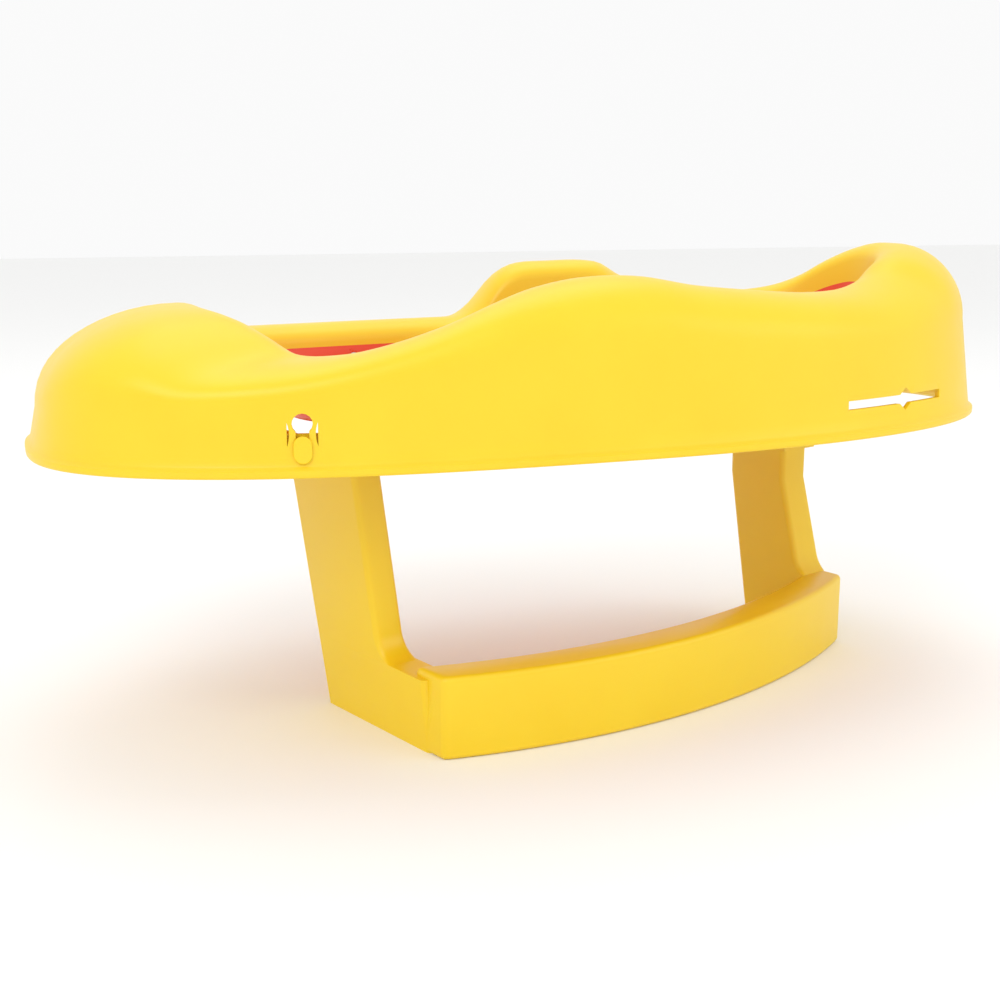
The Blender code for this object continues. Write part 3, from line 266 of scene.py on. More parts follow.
def bucket_foot_point(turn, extra):
    """A point where the bucket's wall has come down to its floor."""
    base = inner_wall_inset(turn, inner_wall_foot(turn)) + BUCKET_GAP + BUCKET_WALL + extra
    point = plan_point(turn, RIDGE_INSET_SIDE + base + BUCKET_DRAFT,
                       RIDGE_INSET_FOOT + base + BUCKET_DRAFT_END,
                       RIDGE_INSET_HEAD + base + BUCKET_DRAFT_END, 0)
    point.z = LIP_Z + bucket_floor_z(point.x)
    return point


def frame_matrix():
    return Matrix.Translation((*FRAME_CORNER, 0)) @ Matrix.Rotation(FRAME_TURN, 4, "Z")


def frame_point(x, y, z):
    return frame_matrix() @ Vector((x, y, z))


def leg_edge(line, z, straight):
    """How far back an edge of a leg stands at a height; the straight top stretch is upright."""
    return line[0] + (line[1] - line[0]) * min(z / (LIP_Z - LEG_TOP_GAP - straight), 1.0)


def leg_front(line, z, straight):
    """The leg's front edge, with the fillet that runs out into the side rail."""
    if z <= SIDE_RAIL_HEIGHT:
        return BAR_WALL / 2
    share = min((z - SIDE_RAIL_HEIGHT) / LEG_FILLET, 1.0)
    fillet = LEG_FILLET * (1 - math.sqrt(1 - (1 - share) ** 2))
    return max(leg_edge(line, z, straight) - fillet, BAR_WALL / 2)


def bow(x):
    """How far in front of its chord the bar's outer face is."""
    radius = (FRAME_SPAN ** 2 / 4 + BAR_BOW ** 2) / (2 * BAR_BOW)
    return math.sqrt(radius ** 2 - (x - FRAME_SPAN / 2) ** 2) - (radius - BAR_BOW)


def turn_at(x, side):
    """The turn at which the skirt stands at x; side is -1 for near and 1 for far."""
    low, high = (0.0, 180.0)
    for _ in range(50):
        middle = (low + high) / 2
        if plan_point(middle, 0, 0, 0, 0).x < x:
            low = middle
        else:
            high = middle
    return low if side < 0 else 360 - low


def skirt_point(turn, z):
    """A point of the skirt's outer face at a height above the lip."""
    shoulder = rim_height(turn) * shoulder_share(turn)
    share = (z - LIP_HEIGHT) / (shoulder - LIP_HEIGHT)
    return inset_point(turn, share - 1, LIP_PROUD * (1 - share), z)


def surface_frame(surface, turn, z, step=0.5, rise=0.002):
    """A matrix at a point of a wall: X along it, Y out of it, Z up it."""
    point = surface(turn, z)
    along = (surface(turn + step, z) - surface(turn - step, z)).normalized()
    up = (surface(turn, z + rise) - surface(turn, z - rise)).normalized()
    out = up.cross(along).normalized()
    if out.x * point.x / SHELL_LENGTH ** 2 + out.y * point.y / SHELL_WIDTH ** 2 < 0:
        along = -along
        out = -out
    up = along.cross(out)
    matrix = Matrix((along, out, up)).transposed().to_4x4()
    matrix.translation = point
    return matrix


def latch_frame(side):
    return surface_frame(skirt_point, turn_at(LATCH_X, side), LATCH_Z)


def standing(bm, place):
    """Turns a flat outline raised along Z so that it is raised along Y of a place instead."""
    bm.transform(place @ Matrix.Rotation(math.radians(90), 4, "X"))
    return bm


def keyhole_outline():
    """A slot rising from the stud at rest into a wider round entry."""
    narrow, wide = KEY_NECK / 2, KEY_HOLE / 2
    steps = 12
    points = []
    for i in range(steps + 1):
        angle = math.pi + math.pi * i / steps
        points.append((narrow * math.cos(angle), narrow * math.sin(angle)))
    start = -math.acos(narrow / wide)
    for i in range(steps + 1):
        angle = start + (math.pi - 2 * start) * i / steps
        points.append((wide * math.cos(angle), LATCH_LIFT + wide * math.sin(angle)))
    return points


def rivet_height(turn):
    return rim_height(turn) * BUCKET_TOP_SHARE - RIVET_DROP


def rivet_frame(turn):
    return surface_frame(bucket_wall_point, turn, rivet_height(turn))


def rivet_reach(turn):
    """From the bucket's inner face to the back of the shell's inner wall."""
    place = rivet_frame(turn)
    height = rivet_height(turn)
    wall = inset_point(turn, 1, inner_wall_inset(turn, height), height)
    return (wall - place.translation).dot(place.col[1].to_3d()) + SHELL_WALL


def socket_frame():
    """Where the socket's pad meets the far skirt."""
    back = frame_point(FRAME_SPAN - HEAD_LEG_WALL / 2, HEAD_LEG_BACK[1], 0)
    return surface_frame(skirt_point, turn_at(back.x, 1), PAD_Z)


def socket_screw_seats():
    place = socket_frame()
    return [place @ Vector((hand * PAD_SPACING / 2, SCREW_STANDOFF, 0)) for hand in (-1, 1)]


def box(low, high):
    """A box as a bmesh, from its two corners."""
    bm = bmesh.new()
    size = Vector(high) - Vector(low)
    middle = (Vector(high) + Vector(low)) / 2
    stretch = Matrix.Diagonal((*size, 1.0))
    bmesh.ops.create_cube(bm, size=1.0, matrix=Matrix.Translation(middle) @ stretch)
    return bm


def rod(start, end, radius, segments):
    """A cylinder from start to end as a bmesh."""
    start, end = Vector(start), Vector(end)
    axis = end - start
    bm = bmesh.new()
    turn = axis.to_track_quat("Z", "Y").to_matrix().to_4x4()
    bmesh.ops.create_cone(
        bm, cap_ends=True, segments=segments, radius1=radius, radius2=radius, depth=axis.length,
        matrix=Matrix.Translation((start + end) / 2) @ turn)
    return bm


def prism(outline, low, high):
    """A flat outline in X and Y raised from low to high, as a bmesh."""
    bm = bmesh.new()
    face = bm.faces.new([bm.verts.new((x, y, low)) for x, y in outline])
    raised = bmesh.ops.extrude_face_region(bm, geom=[face])
    moved = [item for item in raised["geom"] if isinstance(item, bmesh.types.BMVert)]
    bmesh.ops.translate(bm, verts=moved, vec=(0, 0, high - low))
    bmesh.ops.recalc_face_normals(bm, faces=bm.faces)
    return bm


# ---------------------------------------------------------------- settings
class SeatShapeSettings(bpy.types.PropertyGroup):
    """How finely the moulded pieces are built."""
    rim_stations: bpy.props.IntProperty(
        name="Rim stations", description="Sections round the shell and the bucket", default=240, min=48)
    section_steps: bpy.props.IntProperty(
        name="Section steps", description="Steps over each curve of a section", default=14, min=4)
    cut_edge: bpy.props.FloatProperty(
        name="Cut edge", description="Rounding of the edges of the cut-outs", default=0.0005,
        unit="LENGTH", precision=5)
    frame_edge: bpy.props.FloatProperty(
        name="Frame edge", description="Rounding of the support frame edges", default=0.0034,
        unit="LENGTH", precision=5)


class SeatStageSettings(bpy.types.PropertyGroup):
    """The stage, its lights and its camera."""
    floor_size: bpy.props.FloatProperty(
        name="Floor size", description="Side of the square floor", default=14.0, unit="LENGTH")
    key_power: bpy.props.FloatProperty(
        name="Key light", description="Power of the light from the front left, in watts", default=17.0)
    fill_power: bpy.props.FloatProperty(
        name="Fill light", description="Power of the light from the front right, in watts", default=4.5)
    top_power: bpy.props.FloatProperty(
        name="Top light", description="Power of the light from above, in watts", default=8.0)
    surround: bpy.props.FloatProperty(
        name="Surround", description="Strength of the even white surround", default=0.96)
    focal_length: bpy.props.FloatProperty(
        name="Focal length", description="Camera focal length in millimetres", default=50.4)


class SeatFinishSettings(bpy.types.PropertyGroup):
    """Colours, as sRGB hex codes, and the grain of the mouldings."""
    shell_low: bpy.props.StringProperty(
        name="Shell colour", description="Yellow of the shell and the frame, darker end", default="#EFC815")
    shell_high: bpy.props.StringProperty(
        name="Shell highlight", description="Yellow of the shell and the frame, lighter end",
        default="#F3D124")
    bucket_low: bpy.props.StringProperty(
        name="Bucket colour", description="Red of the bucket, darker end", default="#DE3A0C")
    bucket_high: bpy.props.StringProperty(
        name="Bucket highlight", description="Red of the bucket, lighter end", default="#E8470F")
    grain_mm: bpy.props.FloatProperty(
        name="Mould grain", description="Spacing of the mould's grain in millimetres", default=0.7)


# ---------------------------------------------------------------- building blocks
def srgb(code):
    """A hex colour as the linear values that shaders take."""
    values = [int(code[i:i + 2], 16) / 255 for i in (1, 3, 5)]
    linear = [v / 12.92 if v <= 0.04045 else ((v + 0.055) / 1.055) ** 2.4 for v in values]
    return (*linear, 1.0)


def add_node(tree, kind, links=(), **values):
    """A shader node with its sockets set by name, and links given as (socket name, output)."""
    node = tree.nodes.new(kind)
    for name, value in values.items():
        if name.startswith("set_"):
            setattr(node, name[4:], value)
        else:
            node.inputs[name.replace("_", " ")].default_value = value
    for name, output in links:
        tree.links.new(output, node.inputs[name])
    return node


def new_material(name):
    """An empty material with an output and object coordinates."""
    finish = bpy.data.materials.new(name)
    finish.use_nodes = True
    tree = finish.node_tree
    tree.nodes.clear()
    out = tree.nodes.new("ShaderNodeOutputMaterial")
    place = tree.nodes.new("ShaderNodeTexCoord").outputs["Object"]
    return finish, tree, out, place


def moulded_plastic(name, low, high, roughness, grain_mm, grain_depth, glow):
    """Moulded plastic: a slight drift of colour, patchy sheen and a fine grain from the mould."""
    finish, tree, out, place = new_material(name)
    # slow drift of the colour across the moulding, about 60 mm from patch to patch
    drift = add_node(tree, "ShaderNodeTexNoise", (("Vector", place),), Scale=1 / 0.060, Detail=3.0)
    colour = add_node(tree, "ShaderNodeMix", (("Factor", drift.outputs["Fac"]),), set_data_type="RGBA")
    colour.inputs[MIX_LOW].default_value = srgb(low)
    colour.inputs[MIX_HIGH].default_value = srgb(high)
    # handling marks: the sheen changes over about 15 mm
    marks = add_node(tree, "ShaderNodeTexNoise", (("Vector", place),), Scale=1 / 0.015, Detail=5.0)
    sheen = add_node(tree, "ShaderNodeMapRange", (("Value", marks.outputs["Fac"]),))
    sheen.inputs["To Min"].default_value = roughness - 0.05
    sheen.inputs["To Max"].default_value = roughness + 0.07
    # the mould's spark-eroded grain, drawn coarser than the real one so that it shows
    grain = add_node(tree, "ShaderNodeTexNoise", (("Vector", place),), Scale=1000 / grain_mm, Detail=2.0)
    bump = add_node(tree, "ShaderNodeBump", (("Height", grain.outputs["Fac"]),), Strength=0.35,
                    Distance=grain_depth)
    shader = add_node(tree, "ShaderNodeBsdfPrincipled",
                      (("Base Color", colour.outputs[MIX_RESULT]), ("Roughness", sheen.outputs["Result"]),
                       ("Normal", bump.outputs["Normal"])), IOR=1.49)
    shader.inputs["Subsurface Weight"].default_value = glow
    shader.inputs["Subsurface Radius"].default_value = (1.0, 0.55, 0.08)
    shader.inputs["Subsurface Scale"].default_value = 0.004
    tree.links.new(shader.outputs["BSDF"], out.inputs["Surface"])
    return finish


def zinc_steel(name):
    """Zinc-plated steel: bright and metallic, with fine drawn lines and a little dulling."""
    finish, tree, out, place = new_material(name)
    stretch = add_node(tree, "ShaderNodeMapping", (("Vector", place),))
    stretch.inputs["Scale"].default_value = (1.0, 12.0, 12.0)
    # drawn lines about 0.3 mm apart
    lines = add_node(tree, "ShaderNodeTexNoise", (("Vector", stretch.outputs["Vector"]),), Scale=280.0,
                     Detail=4.0)
    dull = add_node(tree, "ShaderNodeMapRange", (("Value", lines.outputs["Fac"]),))
    dull.inputs["To Min"].default_value = 0.24
    dull.inputs["To Max"].default_value = 0.46
    bump = add_node(tree, "ShaderNodeBump", (("Height", lines.outputs["Fac"]),), Strength=0.2,
                    Distance=0.0001)
    shader = add_node(tree, "ShaderNodeBsdfPrincipled",
                      (("Roughness", dull.outputs["Result"]), ("Normal", bump.outputs["Normal"])),
                      Metallic=1.0)
    shader.inputs["Base Color"].default_value = srgb("#C9CACC")
    tree.links.new(shader.outputs["BSDF"], out.inputs["Surface"])
    return finish


def woven_webbing(name):
    """Polyester webbing: a matte weave of 1.6 mm yarns with a soft sheen, and painted shade darkening the
    hollows between the yarns.
    """
    finish, tree, out, place = new_material(name)
    warp, weft = [add_node(tree, "ShaderNodeTexWave", (("Vector", place),), Scale=WEAVE_SCALE, Distortion=0.4,
                           set_bands_direction=direction) for direction in ("X", "Y")]
    weave = add_node(tree, "ShaderNodeMath", (), set_operation="MULTIPLY")
    tree.links.new(warp.outputs["Fac"], weave.inputs[0])
    tree.links.new(weft.outputs["Fac"], weave.inputs[1])
    bump = add_node(tree, "ShaderNodeBump", (("Height", weave.outputs["Value"]),), Strength=0.8,
                    Distance=0.0004)
    # painted shade and highlight: the weave's height darkens the black yarn in the hollows and lightens it on
    # the crossings
    colour = add_node(tree, "ShaderNodeMix", (("Factor", weave.outputs["Value"]),), set_data_type="RGBA")
    colour.inputs[MIX_LOW].default_value = srgb("#1B1C20")
    colour.inputs[MIX_HIGH].default_value = srgb("#3A3C42")
    shader = add_node(tree, "ShaderNodeBsdfPrincipled",
                      (("Base Color", colour.outputs[MIX_RESULT]), ("Normal", bump.outputs["Normal"])),
                      Roughness=0.8)
    shader.inputs["Sheen Weight"].default_value = 0.3
    tree.links.new(shader.outputs["BSDF"], out.inputs["Surface"])
    return finish


FINISHES = {}


def finish_for(slot):
    """Each of the record's material slots has one finish, made the first time it is asked for."""
    look = bpy.context.scene.seat_finish
    makers = {
        "yellow_plastic": lambda: moulded_plastic(
            "yellow polypropylene, satin", look.shell_low, look.shell_high,
            roughness=0.36, grain_mm=look.grain_mm, grain_depth=0.00006, glow=0.10),
        "red_plastic": lambda: moulded_plastic(
            "red-orange polypropylene, semi-gloss", look.bucket_low, look.bucket_high,
            roughness=0.28, grain_mm=look.grain_mm, grain_depth=0.00005, glow=0.06),
        "black_plastic": lambda: moulded_plastic(
            "black nylon, fine grain", "#141416", "#1D1D20",
            roughness=0.45, grain_mm=0.5, grain_depth=0.00008, glow=0.0),
        "button_plastic": lambda: moulded_plastic(
            "red acetal, polished", "#B8140C", "#C81A10",
            roughness=0.22, grain_mm=0.9, grain_depth=0.00002, glow=0.03),
        "steel": lambda: zinc_steel("zinc-plated steel, drawn"),
        "webbing": lambda: woven_webbing("black polyester webbing, woven"),
    }
    if slot not in FINISHES:
        FINISHES[slot] = makers[slot]()
    return FINISHES[slot]


def ring_skin(rings):
    """A skin over rings of points: a circle, extruded ring by ring and set to each ring's points."""
    bm = bmesh.new()
    first = bmesh.ops.create_circle(bm, segments=len(rings[0]), radius=1.0)["verts"]
    bm.verts.ensure_lookup_table()
    for vert, point in zip(first, rings[0]):
        vert.co = point
    edges = list(bm.edges)
    row = list(first)
    for ring in rings[1:]:
        grown = bmesh.ops.extrude_edge_only(bm, edges=edges)["geom"]
        fresh = {item for item in grown if isinstance(item, bmesh.types.BMVert)}
        edges = [item for item in grown if isinstance(item, bmesh.types.BMEdge)
                 and item.verts[0] in fresh and item.verts[1] in fresh]
        row = [next(e.other_vert(old) for e in old.link_edges if e.other_vert(old) in fresh)
               for old in row]
        for vert, point in zip(row, ring):
            vert.co = point
    return bm, row


def link_object(name, bm):
    """An object at the origin from a bmesh, with its faces as they are."""
    mesh = bpy.data.meshes.new(name)
    bm.to_mesh(mesh)
    bm.free()
    piece = bpy.data.objects.new(name, mesh)
    bpy.context.scene.collection.objects.link(piece)
    return piece


def new_object(name, bm):
    """An object at the origin from a closed bmesh, all faces turned out."""
    bm.normal_update()
    bmesh.ops.recalc_face_normals(bm, faces=bm.faces)
    return link_object(name, bm)


def bake(piece):
    """Turns the piece's modifiers into plain mesh."""
    graph = bpy.context.evaluated_depsgraph_get()
    baked = bpy.data.meshes.new_from_object(piece.evaluated_get(graph))
    piece.modifiers.clear()
    piece.data = baked


def join_or_cut(piece, tools, operation):
    """Booleans with several tool objects, which are removed afterwards."""
    for tool in tools:
        step = piece.modifiers.new(tool.name, "BOOLEAN")
        step.operation = operation
        step.object = tool
    bake(piece)
    for tool in tools:
        bpy.data.objects.remove(tool, do_unlink=True)


def round_edges(piece, width, segments, degrees):
    """Rounds the edges that are sharper than an angle."""
    step = piece.modifiers.new("edges", "BEVEL")
    step.width = width
    step.segments = segments
    step.limit_method = "ANGLE"
    step.angle_limit = math.radians(degrees)
    bake(piece)


def dress(piece, body, slot, node):
    """Smooth shading, finish, the body it rides on and the frame piece that it stands for."""
    for face in piece.data.polygons:
        face.use_smooth = True
    piece.data.set_sharp_from_angle(angle=math.radians(SMOOTH_DEG))
    piece.data.materials.clear()
    piece.data.materials.append(finish_for(slot))
    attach(piece, body)
    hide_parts(node)


# ---------------------------------------------------------------- shell
def fine_section(turn, steps):
    """The shell's outer face: a rounded lip, the skirt, the roll of the rim and the inner wall."""
    height = rim_height(turn)
    shoulder = height * shoulder_share(turn)
    points = [inset_point(turn, -1, LIP_ROUND, 0),
              inset_point(turn, -1, LIP_EASE, LIP_ROUND),
              inset_point(turn, -1, 0, LIP_HEIGHT * 0.5),
              inset_point(turn, -1, LIP_EASE, LIP_HEIGHT - LIP_ROUND + LIP_EASE),
              inset_point(turn, -1, LIP_ROUND + LIP_EASE, LIP_HEIGHT),
              inset_point(turn, -1, LIP_PROUD - LIP_ROUND, LIP_HEIGHT + LIP_PROUD * 0.40),
              inset_point(turn, -1, LIP_PROUD, LIP_HEIGHT + LIP_PROUD / 2 + LIP_ROUND)]
    rise = shoulder - LIP_HEIGHT
    for i in range(1, steps // 2):
        share = 2 * i / steps
        points.append(inset_point(turn, share - 1, LIP_PROUD * (1 - share), LIP_HEIGHT + rise * share
                                  + (LIP_PROUD / 2) * (1 - share)))
    for i in range(steps + 1):
        angle = math.pi / 2 * i / steps
        points.append(inset_point(turn, 1 - math.cos(angle), 0,
                                  shoulder + (height - shoulder) * math.sin(angle)))
    half = max(steps // 2, 3)
    for i in range(1, half + 1):
        angle = math.pi / 2 * i / half
        points.append(inset_point(turn, 1, MOUTH_ROLL * math.sin(angle),
                                  height - MOUTH_DROP * (1 - math.cos(angle))))
    low = inner_wall_foot(turn)
    mouth = height - MOUTH_DROP
    for share in (0.33, 0.66, 1.0):
        z = mouth + (low - mouth) * share
        points.append(inset_point(turn, 1, inner_wall_inset(turn, z), z))
    return points


def add_wall(piece, thickness, offset):
    """Gives a skin its wall: offset -1 behind its faces, 1 in front of them."""
    step = piece.modifiers.new("wall", "SOLIDIFY")
    step.thickness = thickness
    step.offset = offset
    bake(piece)


def walled_skin(name, rings, wall):
    """A skin over rings with its faces turned out, given a wall behind them."""
    bm, _ = ring_skin(rings)
    bmesh.ops.recalc_face_normals(bm, faces=bm.faces)
    bm.faces.ensure_lookup_table()
    outermost = min(bm.faces, key=lambda face: face.calc_center_median().x)
    if outermost.normal.x > 0:
        bmesh.ops.reverse_faces(bm, faces=bm.faces)
    piece = link_object(name, bm)
    add_wall(piece, wall, -1)
    return piece


def relief_outline(hand):
    """A thin slit beside the keyhole, straight on its outer edge and bulging towards the keyhole."""
    outline = []
    steps = 10
    for i in range(steps + 1):
        share = 2 * i / steps - 1
        outline.append((hand * RELIEF_AT, LATCH_LIFT * RELIEF_Z_SHARE + share * RELIEF_LENGTH / 2))
    for i in range(1, steps):
        share = 1 - 2 * i / steps
        bulge = RELIEF_WIDTH * (1 - share * share)
        outline.append((hand * (RELIEF_AT - bulge), LATCH_LIFT * RELIEF_Z_SHARE + share * RELIEF_LENGTH / 2))
    return outline


def strap_slot_outline(place, side):
    """A long slot with a pointed notch above and below it."""
    inward = place.inverted()
    ends = sorted((inward @ skirt_point(turn_at(x, side), SLOT_Z)).x for x in SLOT_X)
    foot_side, head_side = ends if place.col[0].x > 0 else ends[::-1]
    notch = foot_side + (head_side - foot_side) * SLOT_NOTCH_AT
    half, tall, wide = SLOT_HEIGHT / 2, SLOT_NOTCH_HEIGHT / 2, SLOT_NOTCH_LENGTH / 2
    return [(ends[0], -half), (notch - wide, -half), (notch, -tall), (notch + wide, -half),
            (ends[1], -half), (ends[1], half), (notch + wide, half), (notch, tall),
            (notch - wide, half), (ends[0], half)]


def skirt_cutters():
    """Keyholes with their relief slits, strap slots, and the bores of the socket's screws."""
    tools = []
    for side, label in ((-1, "near"), (1, "far")):
        place = latch_frame(side)
        keyhole = standing(prism(keyhole_outline(), -KEYHOLE_CUT, KEYHOLE_CUT), place)
        tools.append(new_object("keyhole_" + label, keyhole))
        for hand in (-1, 1):
            slit = standing(prism(relief_outline(hand), -KEYHOLE_CUT, KEYHOLE_CUT), place)
            tools.append(new_object("relief_%s_%d" % (label, hand), slit))
        place = surface_frame(skirt_point, turn_at(sum(SLOT_X) / 2, side), SLOT_Z)
        slot = standing(prism(strap_slot_outline(place, side), -STRAP_SLOT_CUT, STRAP_SLOT_CUT), place)
        tools.append(new_object("strap_slot_" + label, slot))
    out = socket_frame().col[1].to_3d()
    outside, past_end = SOCKET_CUT
    for i, seat in enumerate(socket_screw_seats()):
        bore = rod(seat + out * outside, seat - out * (SOCKET_SCREW_LENGTH + past_end), SCREW_BORE / 2, 32)
        tools.append(new_object("socket_bore_%d" % i, bore))
    return tools


def rivet_cutters(label):
    """A bore through the bucket and the shell's inner wall at each rivet."""
    tools = []
    for i, turn in enumerate(RIVET_TURNS):
        hole = rod((0, -RIVET_CUT, 0), (0, rivet_reach(turn) + RIVET_CUT, 0), RIVET_HOLE / 2, 28)
        hole.transform(rivet_frame(turn))
        tools.append(new_object("rivet_hole_%s_%d" % (label, i), hole))
    return tools


class SEAT_OT_shell(bpy.types.Operator):
    """Add the moulded shell with its keyholes, relief slits and strap slots"""
    bl_idname = "seat.add_shell"
    bl_label = "Shell"

    def execute(self, context):
        settings = context.scene.seat_shape
        turns = even_turns(settings.rim_stations)
        sections = [fine_section(turn, settings.section_steps) for turn in turns]
        rings = [[section[k] for section in sections] for k in range(len(sections[0]))]
        shell = walled_skin("shell_moulding", rings, SHELL_WALL)
        join_or_cut(shell, skirt_cutters() + rivet_cutters("shell"), "DIFFERENCE")
        round_edges(shell, settings.cut_edge, 2, CUT_EDGE_DEG)
        dress(shell, "seat", "yellow_plastic", "seat_shell")
        return {"FINISHED"}


class SEAT_OT_bucket(bpy.types.Operator):
    """Add the inner bucket with its strap slots and rivet holes"""
    bl_idname = "seat.add_bucket"
    bl_label = "Bucket"

    def execute(self, context):
        settings = context.scene.seat_shape
        turns = even_turns(settings.rim_stations)
        rings = []
        for share in (0.0, 0.5, 1.0):
            ring = []
            for turn in turns:
                top = rim_height(turn) * BUCKET_TOP_SHARE
                ring.append(bucket_wall_point(turn, top + (inner_wall_foot(turn) - top) * share))
            rings.append(ring)
        steps = settings.section_steps
        for i in range(steps + 1):
            swing = math.pi / 2 * i / steps
            ring = []
            for turn in turns:
                point = bucket_foot_point(turn, FLOOR_ROUND * (1 - math.cos(swing)))
                point.z += FLOOR_ROUND * (1 - math.sin(swing))
                ring.append(point)
            rings.append(ring)
        edge = rings[-1]
        for share in FLOOR_SHARES:
            ring = []
            for point in edge:
                x, y = point.x * share, point.y * share
                ring.append(Vector((x, y, LIP_Z + bucket_floor_z(x))))
            rings.append(ring)
        bm, last = ring_skin(rings)
        bmesh.ops.contextual_create(bm, geom=last)
        bmesh.ops.recalc_face_normals(bm, faces=bm.faces)
        up = max(bm.faces, key=lambda face: len(face.verts))
        if up.normal.z > 0:
            bmesh.ops.reverse_faces(bm, faces=bm.faces)
        bucket = link_object("bucket_moulding", bm)
        add_wall(bucket, BUCKET_WALL, 1)
        tools = rivet_cutters("bucket")
        places = [(SHOULDER_SLOT[0], -SHOULDER_SLOT[1]), (SHOULDER_SLOT[0], SHOULDER_SLOT[1]),
                  (CROTCH_SLOT_X, 0.0)]
        below, above = BUCKET_SLOT_CUT
        for i, (x, y) in enumerate(places):
            z = LIP_Z + bucket_floor_z(x)
            slot = box((x - STRAP_SLOT[0] / 2, y - STRAP_SLOT[1] / 2, z - below),
                       (x + STRAP_SLOT[0] / 2, y + STRAP_SLOT[1] / 2, z + above))
            tools.append(new_object("bucket_slot_%d" % i, slot))
        join_or_cut(bucket, tools, "DIFFERENCE")
        round_edges(bucket, settings.cut_edge, 2, CUT_EDGE_DEG)
        dress(bucket, "seat", "red_plastic", "seat_bucket")
        return {"FINISHED"}


# ---------------------------------------------------------------- support frame
def round_rectangle(low_x, high_x, low_y, high_y, z, steps=6):
    """A level rectangle with round corners, anticlockwise."""
    radius = LEG_CLIP
    points = []
    corners = ((high_x - radius, high_y - radius, 0), (low_x + radius, high_y - radius, 90),
               (low_x + radius, low_y + radius, 180), (high_x - radius, low_y + radius, 270))
    for x, y, start in corners:
        for i in range(steps + 1):
            angle = math.radians(start + 90 * i / steps)
            points.append(Vector((x + radius * math.cos(angle), y + radius * math.sin(angle), z)))
    return points


def fine_leg(name, outer_x, inward, wall, lean, front, back, straight):
    """An upright plate leg over level rings with clipped corners, closed at both ends."""
    top = LIP_Z - LEG_TOP_GAP
    bend = top - straight
    fillet_foot = SIDE_RAIL_HEIGHT + 0.0005
    levels = [0.0, SIDE_RAIL_HEIGHT]
    levels += [fillet_foot + LEG_FILLET * (1 - math.cos(math.pi / 2 * i / 12)) for i in range(13)]
    levels.append(bend)
    if straight > 0:
        levels.append(top)
    rings = []
    for z in levels:
        outside = outer_x - inward * lean * min(z / bend, 1.0)
        low_x, high_x = sorted((outside, outside + inward * wall))
        low_y = leg_front(front, z, straight)
        high_y = leg_edge(back, z, straight)
        rings.append(round_rectangle(low_x, high_x, low_y, high_y, z))
    bm, last = ring_skin(rings)
    bmesh.ops.contextual_create(bm, geom=last)
    bm.verts.ensure_lookup_table()
    bmesh.ops.contextual_create(bm, geom=list(bm.verts)[:len(rings[0])])
    bm.transform(frame_matrix())
    return new_object(name, bm)


class SEAT_OT_support(bpy.types.Operator):
    """Add the support frame: a bowed bar and two legs in one moulding"""
    bl_idname = "seat.add_support"
    bl_label = "Support frame"

    def execute(self, context):
        settings = context.scene.seat_shape
        steps = 72
        outer = [(FRAME_SPAN * i / steps, -bow(FRAME_SPAN * i / steps)) for i in range(steps + 1)]
        inner = [(x, y + BAR_WALL) for x, y in reversed(outer)]
        bar = prism(outer + inner, 0, BAR_HEIGHT)
        sharp = [edge for edge in bar.edges if edge.calc_face_angle() > math.radians(BAR_EDGE_DEG)]
        bmesh.ops.bevel(bar, geom=sharp, offset=settings.frame_edge, segments=4, affect="EDGES",
                        profile=0.5, material=-1)
        bar.transform(frame_matrix())
        support = new_object("support_frame_moulding", bar)
        legs = [fine_leg("foot_leg", GAP, 1, FOOT_LEG_WALL, FOOT_LEG_LEAN,
                         FOOT_LEG_FRONT, FOOT_LEG_BACK, 0),
                fine_leg("head_leg", FRAME_SPAN - GAP, -1, HEAD_LEG_WALL, HEAD_LEG_LEAN,
                         HEAD_LEG_FRONT, HEAD_LEG_BACK, TENON)]
        join_or_cut(support, legs, "UNION")
        dress(support, "frame", "yellow_plastic", "support_frame")
        return {"FINISHED"}


class SEAT_OT_fittings(bpy.types.Operator):
    """Give the latch, socket, rivets, screws, harness and buckle their finishes"""
    bl_idname = "seat.finish_fittings"
    bl_label = "Fittings"

    def execute(self, context):
        slots = {part["node"]: part["material_slot"] for part in frame["record"]["subparts"]}
        for name, node in frame["nodes"].items():
            if name in ("seat_shell", "seat_bucket", "support_frame"):
                continue
            for holder in node.material_slots:
                holder.material = finish_for(slots[name])
        return {"FINISHED"}


# ---------------------------------------------------------------- stage
def area_light(name, place, size, power):
    """A square light that faces the middle of the seat."""
    light = bpy.data.lights.new(name, "AREA")
    light.size = size
    light.energy = power
    lamp = bpy.data.objects.new(name, light)
    lamp.location = place
    lamp.rotation_euler = (Vector(LIGHT_TARGET) - Vector(place)).to_track_quat("-Z", "Y").to_euler()
    bpy.context.scene.collection.objects.link(lamp)


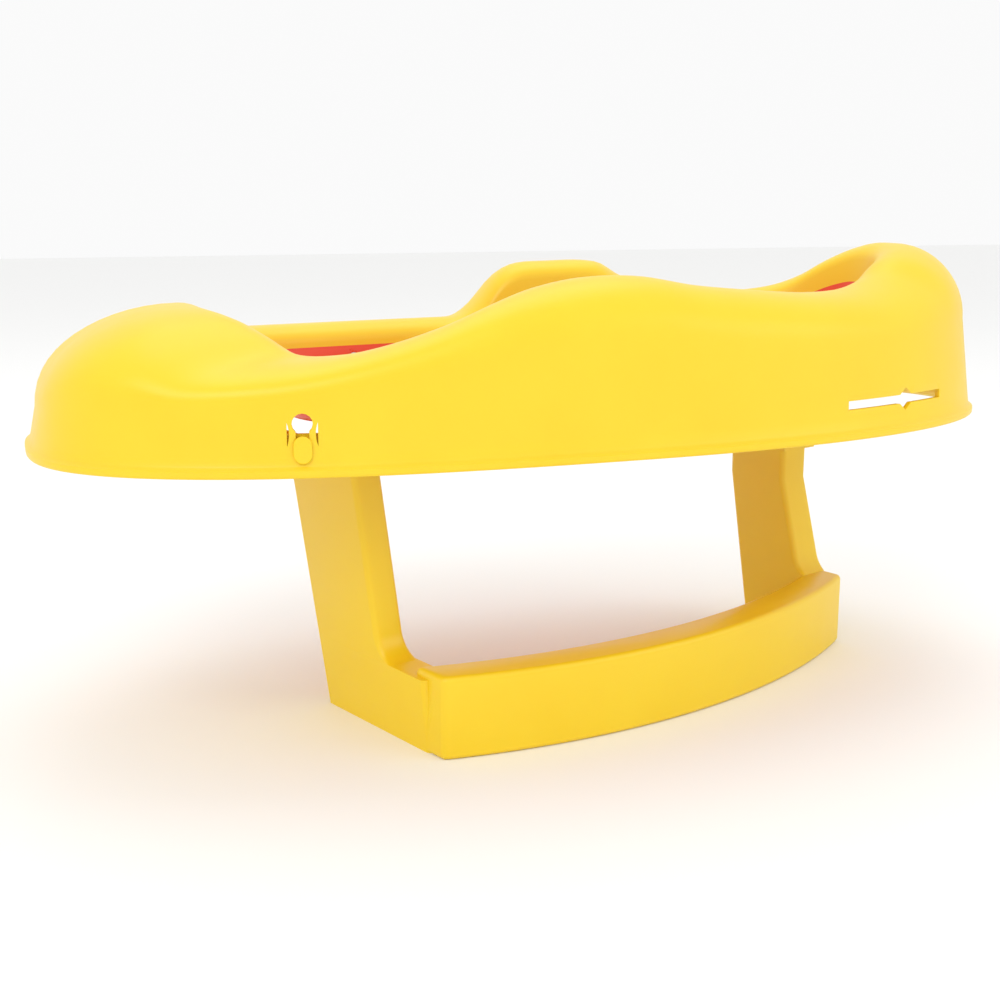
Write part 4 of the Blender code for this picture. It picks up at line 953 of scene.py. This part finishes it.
class SEAT_OT_stage(bpy.types.Operator):
    """Add a plain pale floor, soft studio light and the camera"""
    bl_idname = "seat.add_stage"
    bl_label = "Stage"

    def execute(self, context):
        settings = context.scene.seat_stage
        bm = bmesh.new()
        bmesh.ops.create_grid(bm, x_segments=1, y_segments=1, size=settings.floor_size / 2)
        floor = link_object("studio_floor", bm)
        finish, tree, out, _ = new_material("white paper, matte")
        paper = add_node(tree, "ShaderNodeBsdfPrincipled", (), Roughness=0.9)
        paper.inputs["Base Color"].default_value = srgb("#F7F7F6")
        tree.links.new(paper.outputs["BSDF"], out.inputs["Surface"])
        floor.data.materials.append(finish)

        world = bpy.data.worlds.new("studio surround")
        world.use_nodes = True
        ground = world.node_tree.nodes["Background"]
        ground.inputs["Color"].default_value = (1.0, 1.0, 1.0, 1.0)
        ground.inputs["Strength"].default_value = settings.surround
        context.scene.world = world
        context.scene.view_settings.view_transform = "Standard"

        for name, place, size in LIGHTS:
            area_light(name, place, size, getattr(settings, name + "_power"))

        camera = bpy.data.cameras.new("camera")
        camera.lens = settings.focal_length
        camera.sensor_width = SENSOR_WIDTH
        eye = bpy.data.objects.new("camera", camera)
        eye.location = CAMERA_PLACE
        level = math.cos(CAMERA_PITCH)
        forward = Vector((math.sin(CAMERA_HEADING) * level, math.cos(CAMERA_HEADING) * level,
                          math.sin(CAMERA_PITCH)))
        eye.rotation_euler = forward.to_track_quat("-Z", "Y").to_euler()
        context.scene.collection.objects.link(eye)
        context.scene.camera = eye
        return {"FINISHED"}


class SEAT_PT_panel(bpy.types.Panel):
    """The seat's settings and its pieces"""
    bl_label = "Infant Seat"
    bl_idname = "SEAT_PT_panel"
    bl_space_type = "VIEW_3D"
    bl_region_type = "UI"
    bl_category = "Seat"

    def draw(self, context):
        for group in (context.scene.seat_shape, context.scene.seat_finish, context.scene.seat_stage):
            for name in group.__annotations__:
                self.layout.prop(group, name)
        for operator in OPERATORS:
            self.layout.operator(operator.bl_idname)


OPERATORS = (SEAT_OT_shell, SEAT_OT_bucket, SEAT_OT_support, SEAT_OT_fittings, SEAT_OT_stage)
CLASSES = (SeatShapeSettings, SeatFinishSettings, SeatStageSettings) + OPERATORS + (SEAT_PT_panel,)


def register():
    for cls in CLASSES:
        bpy.utils.register_class(cls)
    bpy.types.Scene.seat_shape = bpy.props.PointerProperty(type=SeatShapeSettings)
    bpy.types.Scene.seat_finish = bpy.props.PointerProperty(type=SeatFinishSettings)
    bpy.types.Scene.seat_stage = bpy.props.PointerProperty(type=SeatStageSettings)


def unregister():
    del bpy.types.Scene.seat_stage
    del bpy.types.Scene.seat_finish
    del bpy.types.Scene.seat_shape
    for cls in reversed(CLASSES):
        bpy.utils.unregister_class(cls)


def main():
    register()
    bpy.ops.seat.add_shell()
    bpy.ops.seat.add_bucket()
    bpy.ops.seat.add_support()
    bpy.ops.seat.finish_fittings()
    bpy.ops.seat.add_stage()


if __name__ == "__main__":
    main()
